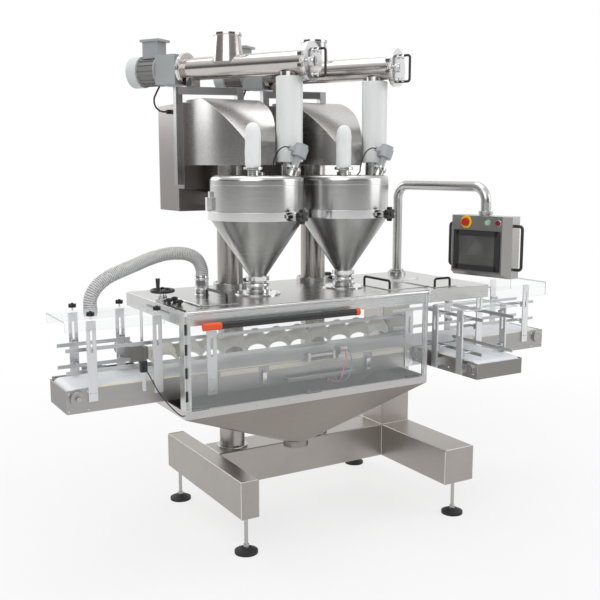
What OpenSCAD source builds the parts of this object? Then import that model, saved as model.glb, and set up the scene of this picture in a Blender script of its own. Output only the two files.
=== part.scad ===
/* [Placement] */
// X of the cross beam centre in the finished part
machine_x = 25; // [-100:1:100]
// Y of the cross beam centre in the finished part
machine_y = 201; // [-300:1:300]

/* [Base] */
// Underside of the welded base above the floor
base_z = 180; // [120:5:260]
// Height of the base box sections
beam_h = 180; // [120:5:220]
// Corner radius of the box sections
beam_round = 5; // [2:1:10]
// Inner face of the left side beam
left_beam_x = -545; // [-600:1:-520]
// Width of the left side beam
left_beam_w = 92; // [70:1:140]
// Front end of the left side beam
left_beam_front = -510; // [-600:1:-400]
// Inner face of the right side beam
right_beam_x = 452; // [420:1:520]
// Width of the right side beam and of the side pillar
right_beam_w = 185; // [150:1:220]
// Front end of the right side beam
right_beam_front = -637; // [-700:1:-500]
// Back end of both side beams
beam_back = 354; // [300:1:420]
// Depth of the cross beam and of the side pillar
cross_beam_d = 187; // [160:1:220]
// Diameter of the foot pads
foot_pad_d = 110; // [80:1:130]
// Diameter of the threaded foot stems
foot_stem_d = 18; // [12:1:24]
// Distance of a foot from the beam end
foot_inset = 45; // [40:1:80]

/* [Columns] */
// X of the left filling head
head_x = -428; // [-440:1:-415]
// Distance between the two filling heads
head_pitch = 484; // [470:1:500]
// Diameter of the two support columns
column_d = 128; // [100:1:130]
// Y of the filling spouts and hoppers
spout_y = -290; // [-292:1:-290]

/* [Main conveyor] */
// Height of the belt top
belt_top = 870; // [850:1:890]
// Width of the main conveyor over its side plates
conveyor_w = 250; // [240:1:256]
// Left end of the conveyor belt
conveyor_left = -1385; // [-1500:1:-1300]
// Right end of the conveyor belt
conveyor_right = 1335; // [1250:1:1450]
// Depth of the conveyor side plates
side_plate_h = 102; // [95:1:110]
// Thickness of the conveyor side plates
side_plate_t = 4; // [3:1:5]
// Thickness of the belts
belt_t = 4; // [3:0.5:5]
// Outer diameter of the main belt round its rollers
belt_wrap_d = 80; // [74:1:84]

/* [Branch conveyor] */
// Left face of the branch conveyor
branch_x = 405; // [404:1:410]
// Width of the branch conveyor over its side plates
branch_w = 285; // [260:1:300]
// Front end of the branch belt
branch_front = -900; // [-1000:1:-880]
// Outer diameter of the branch belt round its rollers
branch_wrap_d = 72; // [66:1:76]

/* [Guard hood] */
// Top of the hood roof
roof_top = 1185; // [1180:1:1190]
// Depth of the roof box
roof_h = 65; // [55:1:70]
// Left end of the hood
hood_left = -940; // [-950:1:-930]
// Right end of the hood roof
hood_right = 740; // [700:1:800]
// Front of the hood roof
hood_front = -600; // [-615:1:-595]
// Back of the hood roof
hood_back = 88; // [80:1:100]
// Right end of the guarded zone with the door and tray
guard_right = 350; // [340:1:355]
// Sheet thickness of hood and tray
sheet_t = 3; // [2:0.5:3.5]
// Thickness of the acrylic door and tunnels
acrylic_t = 8; // [6:1:9]
// Height of the tray rim top
tray_top = 757; // [750:1:762]
// Height of the tray rim band
tray_rim_h = 35; // [30:1:45]
// Diameter of the dust outlet
dust_outlet_d = 120; // [100:1:140]
// X of the dust outlet
dust_outlet_x = -285; // [-320:1:-250]

/* [Timing screw] */
// Outer diameter of the timing screw
screw_d = 113; // [100:1:116]
// Pitch of the timing screw pockets
screw_pitch = 120; // [110:1:130]
// Root diameter of the timing screw pockets
screw_root_d = 46; // [40:1:60]
// Height of the timing screw axis
screw_z = 942; // [938:1:948]
// Y of the timing screw axis
screw_y = -185; // [-188:1:-182]

/* [Hoppers] */
// Outer diameter of the hoppers
hopper_d = 436; // [420:1:440]
// Wall of the hoppers
hopper_wall = 3; // [2:0.5:4]
// Height of the lid shoulder
hopper_top = 1694; // [1680:1:1700]
// Middle height of the body clamp ring
ring_z = 1556; // [1545:1:1565]
// Top of the outlet clamp
outlet_z = 1274; // [1265:1:1285]
// Outer diameter of the filling spouts
spout_d = 85; // [76:1:90]
// Lower end of the filling spouts
spout_end = 1100; // [1090:1:1112]

/* [Drive housings] */
// Underside of the drive bonnets
bonnet_z = 1785; // [1780:1:1795]
// Top of the drive bonnets
bonnet_top = 2100; // [2080:1:2120]
// Width of a drive bonnet at its back
bonnet_w = 310; // [290:1:316]
// Front face of the drive bonnets
bonnet_front = -332; // [-340:1:-325]
// Front face of the rear cabinet
cabinet_front = 155; // [150:1:165]
// Back face of the rear cabinet
cabinet_back = 478; // [440:1:520]

/* [Screw feeders] */
// Height of the feeder axes
feeder_z = 2250; // [2245:1:2255]
// Outer diameter of the feeder tubes
feeder_d = 108; // [100:1:112]
// Length of the feeder tubes
feeder_len = 690; // [680:1:700]
// X of the front end of the left feeder
feeder_x = -212; // [-214:1:-208]
// Y of the front end of the feeders
feeder_y = -411; // [-415:1:-408]
// Turn of the feeders in plan, from the X axis
feeder_turn = 120.7; // [120:0.1:121.5]
// Diameter of the feeder end flanges
feeder_flange_d = 180; // [170:1:186]
// Outer diameter of the drop sleeves
sleeve_d = 128; // [120:1:128]

/* [Operator panel] */
// X of the panel post
post_x = 610; // [600:1:620]
// Diameter of the panel post
post_d = 50; // [42:1:54]
// Height of the overhead arm
arm_z = 1680; // [1660:1:1720]
// Reach of the overhead arm
arm_reach = 661; // [640:1:680]
// Turn of the arm from the line towards the operator
arm_turn = 3.5; // [0:0.5:6]
// Width of the panel box
panel_w = 340; // [330:1:360]
// Height of the panel box
panel_h = 300; // [290:1:304]
// Depth of the panel box
panel_d = 85; // [75:1:95]
// Turn of the panel face from the arm
panel_turn = -81.4; // [-84:0.1:-78]

/* [Fits and finish] */
// Radial clearance of running shafts and pins
shaft_gap = 0.05; // [0.03:0.01:0.09]
// Clearance between faces that only pass each other
face_gap = 0.3; // [0.3:0.1:0.8]
// Clearance round pieces that pass through sheet metal
pass_gap = 2; // [1:0.5:3]

/* [Hidden] */
$fn = 48;

steel = "silver";
dark_steel = "dimgray";
black = "#1c1c1e";
cream = "#e9e4d0";
clear = "#cfdfe6";
orange = "#e8431c";

beam_top = base_z + beam_h;
cross_front = -cross_beam_d / 2;
head2_x = head_x + head_pitch;
heads = [head_x, head2_x];
column_top = bonnet_z;
conveyor_y = spout_y;
plate_front = conveyor_y - conveyor_w / 2;
plate_back = conveyor_y + conveyor_w / 2;
plate_bottom = belt_top - 4 - side_plate_h + 1;
plate_top = belt_top - 4;
roller_z = belt_top - belt_wrap_d / 2;
roller_d = belt_wrap_d - 2 * belt_t - 2 * face_gap;
roller_shaft_d = 20;
end_plate_t = 3;
end_room = end_plate_t + 2;
left_roller_x = conveyor_left + end_room + belt_wrap_d / 2;
right_roller_x = conveyor_right - end_room - belt_wrap_d / 2;
bearing_d = 62;
bearing_t = 14;
belt_w = conveyor_w - 2 * side_plate_t - 6;
branch_belt_w = branch_w - 2 * side_plate_t - 6;
branch_mid_x = branch_x + branch_w / 2;
branch_z = belt_top - branch_wrap_d / 2;
branch_roller_d = branch_wrap_d - 2 * belt_t - 2 * face_gap;
branch_end_y = branch_front + end_room + branch_wrap_d / 2;
branch_near_y = plate_front - 4 - branch_wrap_d / 2;
roof_under = roof_top - roof_h;
roof_skin_z = roof_top - sheet_t;
tray_front = hood_front;
tray_back = -200;
tray_outlet_y = -400;
tray_outlet_z = 485;
tray_rim_t = 4;
tray_band_z = tray_top - tray_rim_h;
hinge_y = hood_front - 9;
hinge_z = 1176;
hinge_pin_d = 8;
hinge_knuckle_d = 14;
door_bottom = tray_top + 5;
door_handle_z = 1120;
door_handle_y = hinge_y - 32;
screw_left = -950;
screw_right = 380;
hopper_r = hopper_d / 2;
cone_top = ring_z - 19;
auger_shaft_d = 34;
pulley_d = 64;
hose_stub = [-675, -200];
wheel_place = [-910, -300];
cabinet_left = -600;
cabinet_right = head2_x + (head_x - cabinet_left);
post_y = 0;
feeder_r = feeder_d / 2;
feeder_bore = feeder_d - 6;
drop_s = 110;
inlet_s = 447;
arm_angle = arm_turn - 90;

module in_place() { translate([machine_x, machine_y, 0]) children(); }

// Bar with rounded long edges, along X from its left end
module rounded_bar(len, depth, height, r) {
    rotate([90, 0, 90]) linear_extrude(len) rounded_rect(depth, height, r);
}

module rounded_rect(w, h, r) {
    union() {
        translate([r, 0]) square([w - 2 * r, h]);
        translate([0, r]) square([w, h - 2 * r]);
        for (x = [r, w - r], y = [r, h - r]) translate([x, y]) circle(r);
    }
}

// Slot or belt outline: two round ends joined by straight sides
module stadium(len, d) {
    union() {
        translate([0, -d / 2]) square([len, d]);
        circle(d = d);
        translate([len, 0]) circle(d = d);
    }
}

module pipe(d, bore, len) {
    difference() {
        cylinder(d = d, h = len);
        translate([0, 0, -1]) cylinder(d = bore, h = len + 2);
    }
}

module rod_x(d, len) { rotate([0, 90, 0]) cylinder(d = d, h = len); }
module rod_y(d, len) { rotate([-90, 0, 0]) cylinder(d = d, h = len); }

// Ring clamp of two half shells with a hinge block and a wing nut, standing on z = 0
module band_clamp(d, bore, h, nut_turn) {
    pipe(d, bore, h);
    rotate(nut_turn) {
        translate([d / 2 - 3, -9, 1]) cube([16, 18, h - 2]);
        translate([d / 2 + 7, 9, h / 2]) rod_y(7, 26);
        translate([d / 2 + 7, 28, h / 2]) rotate([0, 0, 0]) sphere(d = 14);
        translate([d / 2 + 4, 25, h / 2 - 11]) cube([6, 7, 22]);
    }
    rotate(nut_turn + 180) translate([d / 2 - 3, -7, 1]) cube([11, 14, h - 2]);
}

// Bow handle lying along X on z = 0, rising to h
module bow_handle(len, h, d) {
    bend = d;
    for (x = [-len / 2, len / 2]) translate([x, 0, 0]) cylinder(d = d, h = h - bend);
    translate([-len / 2 + bend, 0, h]) rod_x(d, len - 2 * bend);
    for (side = [0, 1]) mirror([side, 0, 0])
        translate([len / 2 - bend, 0, h - bend]) rotate([90, 0, 0])
            rotate_extrude(angle = 90) translate([bend, 0]) circle(d = d);
}

// Lobed hand knob with a threaded stem, standing on z = 0
module lobed_knob(d, h, stem) {
    translate([0, 0, stem]) {
        cylinder(d = d * 0.62, h = h);
        for (a = [0:60:300]) rotate(a) translate([d * 0.36, 0, 0]) cylinder(d = d * 0.28, h = h);
        translate([0, 0, h]) cylinder(d = d * 0.3, h = 4);
    }
    cylinder(d = 8, h = stem);
}

// Base
module side_beam(x, w, front) {
    translate([x + w, front, base_z]) rotate(90) rounded_bar(beam_back - front, w, beam_h, beam_round);
}

module base_frame() in_place() color(steel) difference() {
    union() {
        side_beam(left_beam_x - left_beam_w, left_beam_w, left_beam_front);
        side_beam(right_beam_x, right_beam_w, right_beam_front);
        translate([left_beam_x - 5, cross_front, base_z + 0.5])
            rounded_bar(right_beam_x - left_beam_x + 10, cross_beam_d, beam_h - 0.5, beam_round);
        translate([right_beam_x, cross_front, beam_top - 8])
            linear_extrude(roof_under - beam_top + 8) rounded_rect(right_beam_w, cross_beam_d, beam_round);
    }
    for (p = foot_places) translate([p[0], p[1], base_z - 1])
        cylinder(d = foot_stem_d + 2 * shaft_gap, h = 61);
}

foot_places = [
    [left_beam_x - left_beam_w / 2, left_beam_front + foot_inset],
    [right_beam_x + right_beam_w / 2, right_beam_front + foot_inset],
    [left_beam_x - left_beam_w / 2, beam_back - foot_inset],
    [right_beam_x + right_beam_w / 2, beam_back - foot_inset]
];

module levelling_foot(i) in_place() translate([foot_places[i][0], foot_places[i][1], 0]) {
    color(black) {
        cylinder(d = foot_pad_d, h = 12);
        translate([0, 0, 12]) cylinder(d1 = foot_pad_d - 6, d2 = 46, h = 16);
    }
    color(steel) {
        translate([0, 0, 28]) cylinder(d = foot_stem_d + 12, h = 14, $fn = 6);
        translate([0, 0, 42]) cylinder(d = foot_stem_d, h = base_z + 10);
        translate([0, 0, base_z - 14 - face_gap]) cylinder(d = foot_stem_d + 12, h = 14, $fn = 6);
    }
}

module foot_front_left() levelling_foot(0);
module foot_front_right() levelling_foot(1);
module foot_rear_left() levelling_foot(2);
module foot_rear_right() levelling_foot(3);

// Columns and what they carry
module support_columns() in_place() color(steel) for (x = heads) translate([x, 0, beam_top])
    pipe(column_d, column_d - 10, column_top - beam_top);

module column_collars() in_place() color(steel) for (x = heads) translate([x, 0, 0]) {
    translate([0, 0, roof_top]) pipe(column_d + 44, column_d, 22);
    translate([column_d / 2 + 10, -12, roof_top]) cube([34, 24, 22]);
    translate([0, 0, beam_top]) pipe(column_d + 30, column_d, 10);
    hopper_saddle();
    cabinet_bracket();
}

module hopper_saddle() difference() {
    translate([-45, spout_y + hopper_r - 25, 1600]) cube([90, -spout_y - hopper_r - 20, 50]);
    translate([0, 0, 1590]) cylinder(d = column_d, h = 70);
    translate([0, spout_y, 1590]) cylinder(d = hopper_d, h = 70);
}

module cabinet_bracket() difference() {
    translate([-50, 20, 1590]) cube([100, cabinet_front + 70 - 20, 60]);
    translate([0, 0, 1580]) cylinder(d = column_d, h = 80);
}

// Conveyors
module side_plate(x0, x1, y) {
    translate([x0, y, plate_bottom]) cube([x1 - x0, side_plate_t, plate_top - plate_bottom]);
}

module conveyor_frames() in_place() color(dark_steel) {
    difference() {
        for (y = [plate_front, plate_back - side_plate_t]) {
            side_plate(conveyor_left, conveyor_right, y);
        }
        for (x = [left_roller_x, right_roller_x]) translate([x, plate_front - 1, roller_z])
            rod_y(roller_shaft_d + 2 * shaft_gap, conveyor_w + 2);
    }
    for (x = [left_roller_x, right_roller_x]) {
        translate([x, plate_front - face_gap, roller_z]) rotate([90, 0, 0])
            pipe(bearing_d, roller_shaft_d + 2 * shaft_gap, bearing_t);
        translate([x, plate_back, roller_z]) rotate([-90, 0, 0])
            pipe(bearing_d, roller_shaft_d + 2 * shaft_gap, bearing_t);
    }
    translate([left_roller_x + 52, plate_front + side_plate_t, plate_top - 6.5])
        cube([right_roller_x - left_roller_x - 104, conveyor_w - 2 * side_plate_t, 6]);
    for (x = [-1200:400:1200])
        translate([x, plate_front + side_plate_t, plate_bottom + 12])
            rod_y(16, conveyor_w - 2 * side_plate_t);
    for (x = [conveyor_left, conveyor_right - end_plate_t]) translate([x, plate_front, plate_bottom])
        cube([end_plate_t, conveyor_w, plate_top - 2 - plate_bottom]);
    branch_frame();
    pillar_brackets();
}

module branch_frame() {
    len = plate_front - branch_front - face_gap;
    depth = 76;
    difference() {
        for (x = [branch_x, branch_x + branch_w - side_plate_t])
            translate([x, branch_front, plate_top - depth]) cube([side_plate_t, len, depth]);
        for (y = [branch_end_y, branch_near_y]) translate([branch_x - 1, y, branch_z])
            rod_x(roller_shaft_d + 2 * shaft_gap, branch_w + 2);
    }
    for (y = [branch_end_y, branch_near_y]) {
        translate([branch_x - bearing_t, y, branch_z]) rotate([0, 90, 0])
            pipe(bearing_d - 10, roller_shaft_d + 2 * shaft_gap, bearing_t);
        translate([branch_x + branch_w, y, branch_z]) rotate([0, 90, 0])
            pipe(bearing_d - 10, roller_shaft_d + 2 * shaft_gap, bearing_t);
    }
    translate([branch_x + side_plate_t, branch_end_y + 45, plate_top - 6.5])
        cube([branch_w - 2 * side_plate_t, branch_near_y - branch_end_y - 90, 6]);
    translate([branch_x, branch_front, plate_top - depth]) cube([branch_w, end_plate_t, depth - 2]);
    translate([branch_x + side_plate_t, (branch_end_y + branch_near_y) / 2, branch_z])
        rod_x(14, branch_w - 2 * side_plate_t);
}

// Brackets that carry the main conveyor from the pillar and the columns
module pillar_brackets() {
    translate([right_beam_x + 30, plate_back, plate_bottom])
        cube([120, cross_front - plate_back, 12]);
    for (x = heads) difference() {
        translate([x - 45, plate_back, plate_bottom + 8]) cube([90, -plate_back - 10, 40]);
        translate([x, 0, plate_bottom]) cylinder(d = column_d, h = 60);
    }
}

module belt_loop(len, wrap_d, w) {
    rotate([90, 0, 0]) linear_extrude(w) difference() {
        stadium(len, wrap_d);
        stadium(len, wrap_d - 2 * belt_t);
    }
}

module conveyor_belts() in_place() color("white") {
    translate([left_roller_x, conveyor_y + belt_w / 2, roller_z])
        belt_loop(right_roller_x - left_roller_x, belt_wrap_d, belt_w);
    translate([branch_mid_x - branch_belt_w / 2, branch_end_y, branch_z]) rotate(90)
        belt_loop(branch_near_y - branch_end_y, branch_wrap_d, branch_belt_w);
}

module belt_roller(d, face, shaft) {
    translate([0, -face / 2, 0]) rod_y(d, face);
    translate([0, -shaft / 2, 0]) rod_y(roller_shaft_d, shaft);
}

module main_drive_roller() in_place() color(dark_steel)
    translate([left_roller_x, conveyor_y, roller_z]) belt_roller(roller_d, belt_w, conveyor_w + 56);

module main_tail_roller() in_place() color(dark_steel)
    translate([right_roller_x, conveyor_y, roller_z]) belt_roller(roller_d, belt_w, conveyor_w + 30);

module branch_drive_roller() in_place() color(dark_steel)
    translate([branch_mid_x, branch_near_y, branch_z]) rotate(90)
        belt_roller(branch_roller_d, branch_belt_w, branch_w + 30);

module branch_tail_roller() in_place() color(dark_steel)
    translate([branch_mid_x, branch_end_y, branch_z]) rotate(90)
        belt_roller(branch_roller_d, branch_belt_w, branch_w + 30);

// Chain case on the drive roller shaft, then the reducer with its motor along the conveyor
module conveyor_gearmotor() in_place() color(dark_steel) {
    case_y = plate_back + bearing_t;
    case_t = 26;
    case_h = 72;
    gear_x = left_roller_x + 130;
    gear = [90, 80, 95];
    motor_d = 84;
    difference() {
        union() {
            translate([left_roller_x - 26, case_y, roller_z - case_h / 2])
                cube([gear_x + gear[0] - left_roller_x + 26, case_t, case_h]);
            translate([gear_x, case_y + case_t, roller_z - gear[2] / 2]) cube(gear);
            translate([gear_x + 20, plate_back, roller_z - 20]) cube([50, bearing_t + 4, 40]);
        }
        translate([left_roller_x, case_y - 1, roller_z]) rod_y(roller_shaft_d + 2 * shaft_gap, case_t + 2);
    }
    translate([gear_x + gear[0], case_y + case_t + gear[1] / 2, roller_z]) {
        rod_x(98, 12);
        translate([12, 0, 0]) rod_x(motor_d, 100);
        for (i = [0:11]) rotate([i * 30, 0, 0]) translate([16, motor_d / 2 - 2, -1.5]) cube([90, 7, 3]);
        translate([112, 0, 0]) rod_x(96, 30);
    }
}

// Guide posts: slotted flat bars bolted to the conveyor sides
module slotted_bar(w, t, h) {
    difference() {
        translate([-w / 2, 0, 0]) cube([w, t, h]);
        translate([0, -1, h * 0.62]) rotate([-90, 90, 0]) linear_extrude(t + 2)
            translate([-h * 0.25, 0]) stadium(h * 0.25, w * 0.26);
    }
}

post_w = 40;
post_t = 8;
infeed_front_posts = [-1274, -985];
infeed_rear_posts = [-1274, -1062];
outfeed_posts = [850, 1190];
post_z = belt_top - 60;
bracket_posts = [-730, branch_x - 30];
branch_left_posts = [-620, -800];
branch_post_gap = 20;
branch_right_post = -760;

module guide_posts() in_place() color(steel) {
    infeed_h = tunnel_top - acrylic_t - post_z;
    outfeed_h = out_tunnel_top - acrylic_t - post_z;
    for (x = infeed_front_posts) translate([x, plate_front - post_t, post_z])
        slotted_bar(post_w, post_t, infeed_h);
    for (x = infeed_rear_posts) translate([x, plate_back, post_z]) slotted_bar(post_w, post_t, infeed_h);
    for (x = outfeed_posts, y = [plate_front - post_t, plate_back])
        translate([x, y, post_z]) slotted_bar(post_w, post_t, outfeed_h);
    for (x = bracket_posts) translate([x, plate_front - post_t, plate_bottom])
        slotted_bar(48, post_t, 290);
    for (y = branch_left_posts) {
        translate([branch_x - branch_post_gap, y, belt_top - 70]) rotate(90)
            slotted_bar(post_w, post_t, branch_sheet_z - belt_top + 70);
        translate([branch_x - branch_post_gap, y - post_w / 2, belt_top - 60])
            cube([branch_post_gap, post_w, 40]);
    }
    translate([branch_x + branch_w, branch_right_post, belt_top - 70]) rotate(-90)
        slotted_bar(post_w, post_t, branch_sheet_z - belt_top + 70);
    infeed_eye();
}

// Photo eye on a small bracket in front of the infeed
module infeed_eye() {
    translate([-1068, plate_front - 22, belt_top + 40]) cube([28, 22, 50]);
    translate([-1062, plate_front - 14, plate_top - 40]) cube([16, 14, 86]);
}

lower_rail = 925;
upper_rail = 1020;
rail_h = 16;
rail_t = 5;
rail_front = conveyor_y - 65;
rail_back = conveyor_y + 65;

module rail_x(x0, x1, y, z) { translate([x0, y - rail_t / 2, z - rail_h / 2]) cube([x1 - x0, rail_t, rail_h]); }
module rail_y(y0, y1, x, z) { translate([x - rail_t / 2, y0, z - rail_h / 2]) cube([rail_t, y1 - y0, rail_h]); }

// Round arm with a clamp block, from the inner face of a post to a rail
module rail_arm(x, y_post, y_rail, z) {
    y0 = min(y_post, y_rail);
    translate([x, y0, z]) rod_y(12, abs(y_post - y_rail));
    translate([x - 14, y_post < y_rail ? y_post : y_post - 22, z - 14]) cube([28, 22, 28]);
}

module guide_rails() in_place() color(steel) {
    front_edge = rail_front - rail_t / 2;
    back_edge = rail_back + rail_t / 2;
    for (z = [lower_rail, upper_rail]) {
        rail_x(conveyor_left + 20, branch_x - 15, rail_front, z);
        rail_x(conveyor_left + 20, screw_left - 90, rail_back, z);
        rail_x(branch_x + branch_w + 20, conveyor_right - 20, rail_front, z);
        rail_x(screw_right + 40, conveyor_right - 20, rail_back, z);
        for (x = concat(infeed_front_posts, outfeed_posts, bracket_posts))
            rail_arm(x, plate_front, front_edge, z);
        for (x = concat(infeed_rear_posts, outfeed_posts)) rail_arm(x, plate_back, back_edge, z);
    }
    for (z = [branch_lower_rail, branch_upper_rail]) {
        rail_y(branch_front + 20, plate_front - 30, branch_x + 45, z);
        rail_y(branch_front + 20, plate_front - 30, branch_x + branch_w - 45, z);
        for (y = branch_left_posts) translate([branch_x - branch_post_gap, y, z])
            branch_arm(branch_post_gap + 45 - rail_t / 2);
        translate([branch_x + branch_w, branch_right_post, z]) mirror([1, 0, 0])
            branch_arm(45 - rail_t / 2);
    }
}

branch_lower_rail = 900;
branch_upper_rail = 1065;

module branch_arm(len) {
    translate([0, -14, -14]) cube([18, 28, 28]);
    rod_x(12, len);
}

// Acrylic channels over the lanes
tunnel_top = 1157;
branch_sheet_z = 1108;
out_tunnel_top = 1140;
hose_port_x = -1234;
hose_d = 60;

module acrylic_tunnels() in_place() color(clear, 0.5) {
    difference() {
        translate([conveyor_left, plate_front - post_t, tunnel_top - acrylic_t])
            cube([hood_left - 12 - conveyor_left, conveyor_w + 2 * post_t, acrylic_t]);
        translate([hose_port_x, conveyor_y, tunnel_top - 20]) cylinder(d = hose_d - 6, h = 40);
    }
    for (y = [plate_front - post_t - 6, plate_back + post_t])
        translate([conveyor_left, y, tunnel_top - 45]) cube([hood_left - 12 - conveyor_left, 6, 45]);
    translate([hose_port_x, conveyor_y, tunnel_top]) pipe(hose_d, hose_d - 6, 25);
    translate([920, plate_front - post_t, out_tunnel_top - acrylic_t])
        cube([conveyor_right - 920, conveyor_w + 2 * post_t, acrylic_t]);
    for (y = [plate_front - post_t - 6, plate_back + post_t])
        translate([920, y, out_tunnel_top - 75]) cube([conveyor_right - 920, 6, 75]);
    translate([branch_x - branch_post_gap - post_t, -850, branch_sheet_z])
        cube([branch_w + branch_post_gap + 2 * post_t, 240, acrylic_t - 2]);
}

// Guard hood
lid_open = [
    [-815, -508, 160, 234],
    [180, -508, 208, 246],
    [430, -558, 110, 296]
];

lid_lap = 12;
lid_pin_d = 3;

module guard_hood() in_place() color(steel) {
    difference() {
        translate([hood_left, hood_front, roof_under])
            cube([hood_right - hood_left, hood_back - hood_front, roof_h]);
        translate([hood_left + sheet_t, hood_front + sheet_t, roof_under - 1])
            cube([hood_right - hood_left - 2 * sheet_t, hood_back - hood_front - 2 * sheet_t,
                roof_h - sheet_t + 1]);
        for (x = heads) {
            translate([x, 0, roof_under]) cylinder(d = column_d + 2 * pass_gap, h = roof_h + 1);
            translate([x, spout_y, roof_under]) cylinder(d = spout_d + 2 * pass_gap, h = roof_h + 1);
        }
        for (o = lid_open) translate([o[0], o[1], roof_skin_z - 1]) cube([o[2], o[3], sheet_t + 2]);
        translate([hose_stub[0], hose_stub[1], roof_skin_z - 1]) cylinder(d = hose_d - 6, h = sheet_t + 2);
        translate([wheel_place[0], wheel_place[1], roof_skin_z - 1])
            cylinder(d = 16 + 2 * shaft_gap, h = sheet_t + 2);
    }
    hood_left_end();
    hood_right_end();
    hinge_lugs();
    lid_hinge_lugs();
    translate([right_beam_x, cross_front, roof_under]) cube([right_beam_w, 6, roof_h - 1]);
    translate([hose_stub[0], hose_stub[1], roof_top]) pipe(hose_d, hose_d - 6, 15);
    translate([wheel_place[0], wheel_place[1], roof_top]) pipe(64, 16 + 2 * shaft_gap, 16);
    translate([wheel_place[0], wheel_place[1], roof_top + 16]) pipe(40, 16 + 2 * shaft_gap, 12);
    translate([post_x, post_y, roof_top]) cylinder(d = post_d + 50, h = post_base_h);
    translate([post_x, post_y, roof_top]) cylinder(d = post_spigot_d, h = post_base_h + 80);
}

// Front post and lower wall at the left end, with the lane left open
module hood_left_end() {
    translate([hood_left, hood_front, tray_top]) cube([sheet_t, 48, roof_under - tray_top]);
    translate([hood_left, hood_front, tray_top]) cube([30, sheet_t, roof_under - tray_top]);
    translate([hood_left, plate_back + 50, tray_top]) cube([sheet_t, 30, roof_under - tray_top]);
}

module hood_right_end() {
    translate([guard_right - sheet_t, hood_front, tray_top]) cube([sheet_t, 40, roof_under - tray_top]);
    translate([guard_right - 28, hood_front, tray_top]) cube([28, sheet_t, roof_under - tray_top]);
}

module hinge_lugs() {
    for (x = [hood_left, guard_right - 10]) difference() {
        translate([x, hinge_y - 9, hinge_z - 10]) cube([10, hood_front - hinge_y + 9, 19]);
        translate([x - 1, hinge_y, hinge_z]) rod_x(hinge_pin_d, 12);
    }
    translate([hood_left, hinge_y, hinge_z]) rod_x(hinge_pin_d, guard_right - hood_left);
}

// Dust tray: rim band, sloping funnel and round outlet
module tray_funnel(grow, rise) {
    hull() {
        translate([hood_left + tray_rim_t - grow, tray_front + tray_rim_t - grow, tray_band_z - 1])
            cube([guard_right - hood_left - 2 * tray_rim_t + 2 * grow,
                tray_back - tray_front - 2 * tray_rim_t + 2 * grow, 1 + rise]);
        translate([dust_outlet_x, tray_outlet_y, tray_outlet_z - 2])
            cylinder(r = dust_outlet_d / 2 - sheet_t + 2 * grow, h = 2, $fn = 32);
    }
}

module dust_tray() in_place() color(steel) {
    difference() {
        translate([hood_left, tray_front, tray_band_z])
            cube([guard_right - hood_left, tray_back - tray_front, tray_rim_h]);
        translate([hood_left + tray_rim_t, tray_front + tray_rim_t, tray_band_z - 1])
            cube([guard_right - hood_left - 2 * tray_rim_t, tray_back - tray_front - 2 * tray_rim_t,
                tray_rim_h + 2]);
    }
    difference() {
        tray_funnel(sheet_t, 3);
        tray_funnel(0, 5);
        translate([dust_outlet_x, tray_outlet_y, tray_outlet_z - 5])
            cylinder(r = dust_outlet_d / 2 - sheet_t, h = 8);
    }
    translate([dust_outlet_x, tray_outlet_y, tray_outlet_z - 32])
        pipe(dust_outlet_d, dust_outlet_d - 2 * sheet_t, 30);
}

module door_catches() in_place() color(black) for (x = [-907, -346, 223])
    translate([x, hinge_y + acrylic_t / 2 + face_gap, tray_top]) cube([75, 24, 16]);

// Front door: acrylic sheet on a hinge profile, with the long handle tube
module front_door() in_place() {
    x0 = hood_left + 12;
    len = guard_right - hood_left - 24;
    door_y = hinge_y - acrylic_t / 2;
    color(clear, 0.4) difference() {
        translate([x0, door_y, door_bottom]) cube([len, acrylic_t, hinge_z - door_bottom]);
        translate([x0 - 1, hinge_y, hinge_z]) rod_x(hinge_knuckle_d - 2, len + 2);
    }
    color(steel) translate([x0, hinge_y, hinge_z]) rotate([0, 90, 0])
        pipe(hinge_knuckle_d, hinge_pin_d + 2 * shaft_gap, len);
    color(black) {
        translate([-790, door_handle_y, door_handle_z]) rod_x(30, 680);
        for (x = [-700, -480, -250]) translate([x, door_handle_y + 12, door_handle_z])
            rod_y(16, door_y - door_handle_y - 12);
    }
    color(orange) {
        translate([-870, door_handle_y, door_handle_z]) rod_x(33, 80);
        translate([-110, door_handle_y, door_handle_z]) rod_x(33, 20);
    }
}

// Lid hinges: a roll on the lid turns on a pin between two lugs of the roof
function lid_hinge(i) = let (o = lid_open[i])
    i == 0 ? [o[0] - lid_lap, o[1] + o[3] / 2, o[3] + 2 * lid_lap, 0]
    : i == 1 ? [o[0] + o[2] + lid_lap, o[1] + o[3] / 2, o[3] + 2 * lid_lap, 0]
    : [o[0] + o[2] / 2, o[1] + o[3] + lid_lap, o[2] + 2 * lid_lap, 90];

module at_lid_hinge(i, back) translate([lid_hinge(i)[0], lid_hinge(i)[1], roof_top + face_gap + 4])
    rotate(lid_hinge(i)[3]) translate([0, -lid_hinge(i)[2] / 2 - back, 0]) children();

module lid_hinge_lugs() for (i = [0:2]) {
    len = lid_hinge(i)[2];
    at_lid_hinge(i, 9) {
        rod_y(lid_pin_d, len + 18);
        for (y = [0, len + 10]) translate([-5, y, -4 - face_gap]) cube([10, 8, 9]);
    }
}

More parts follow.
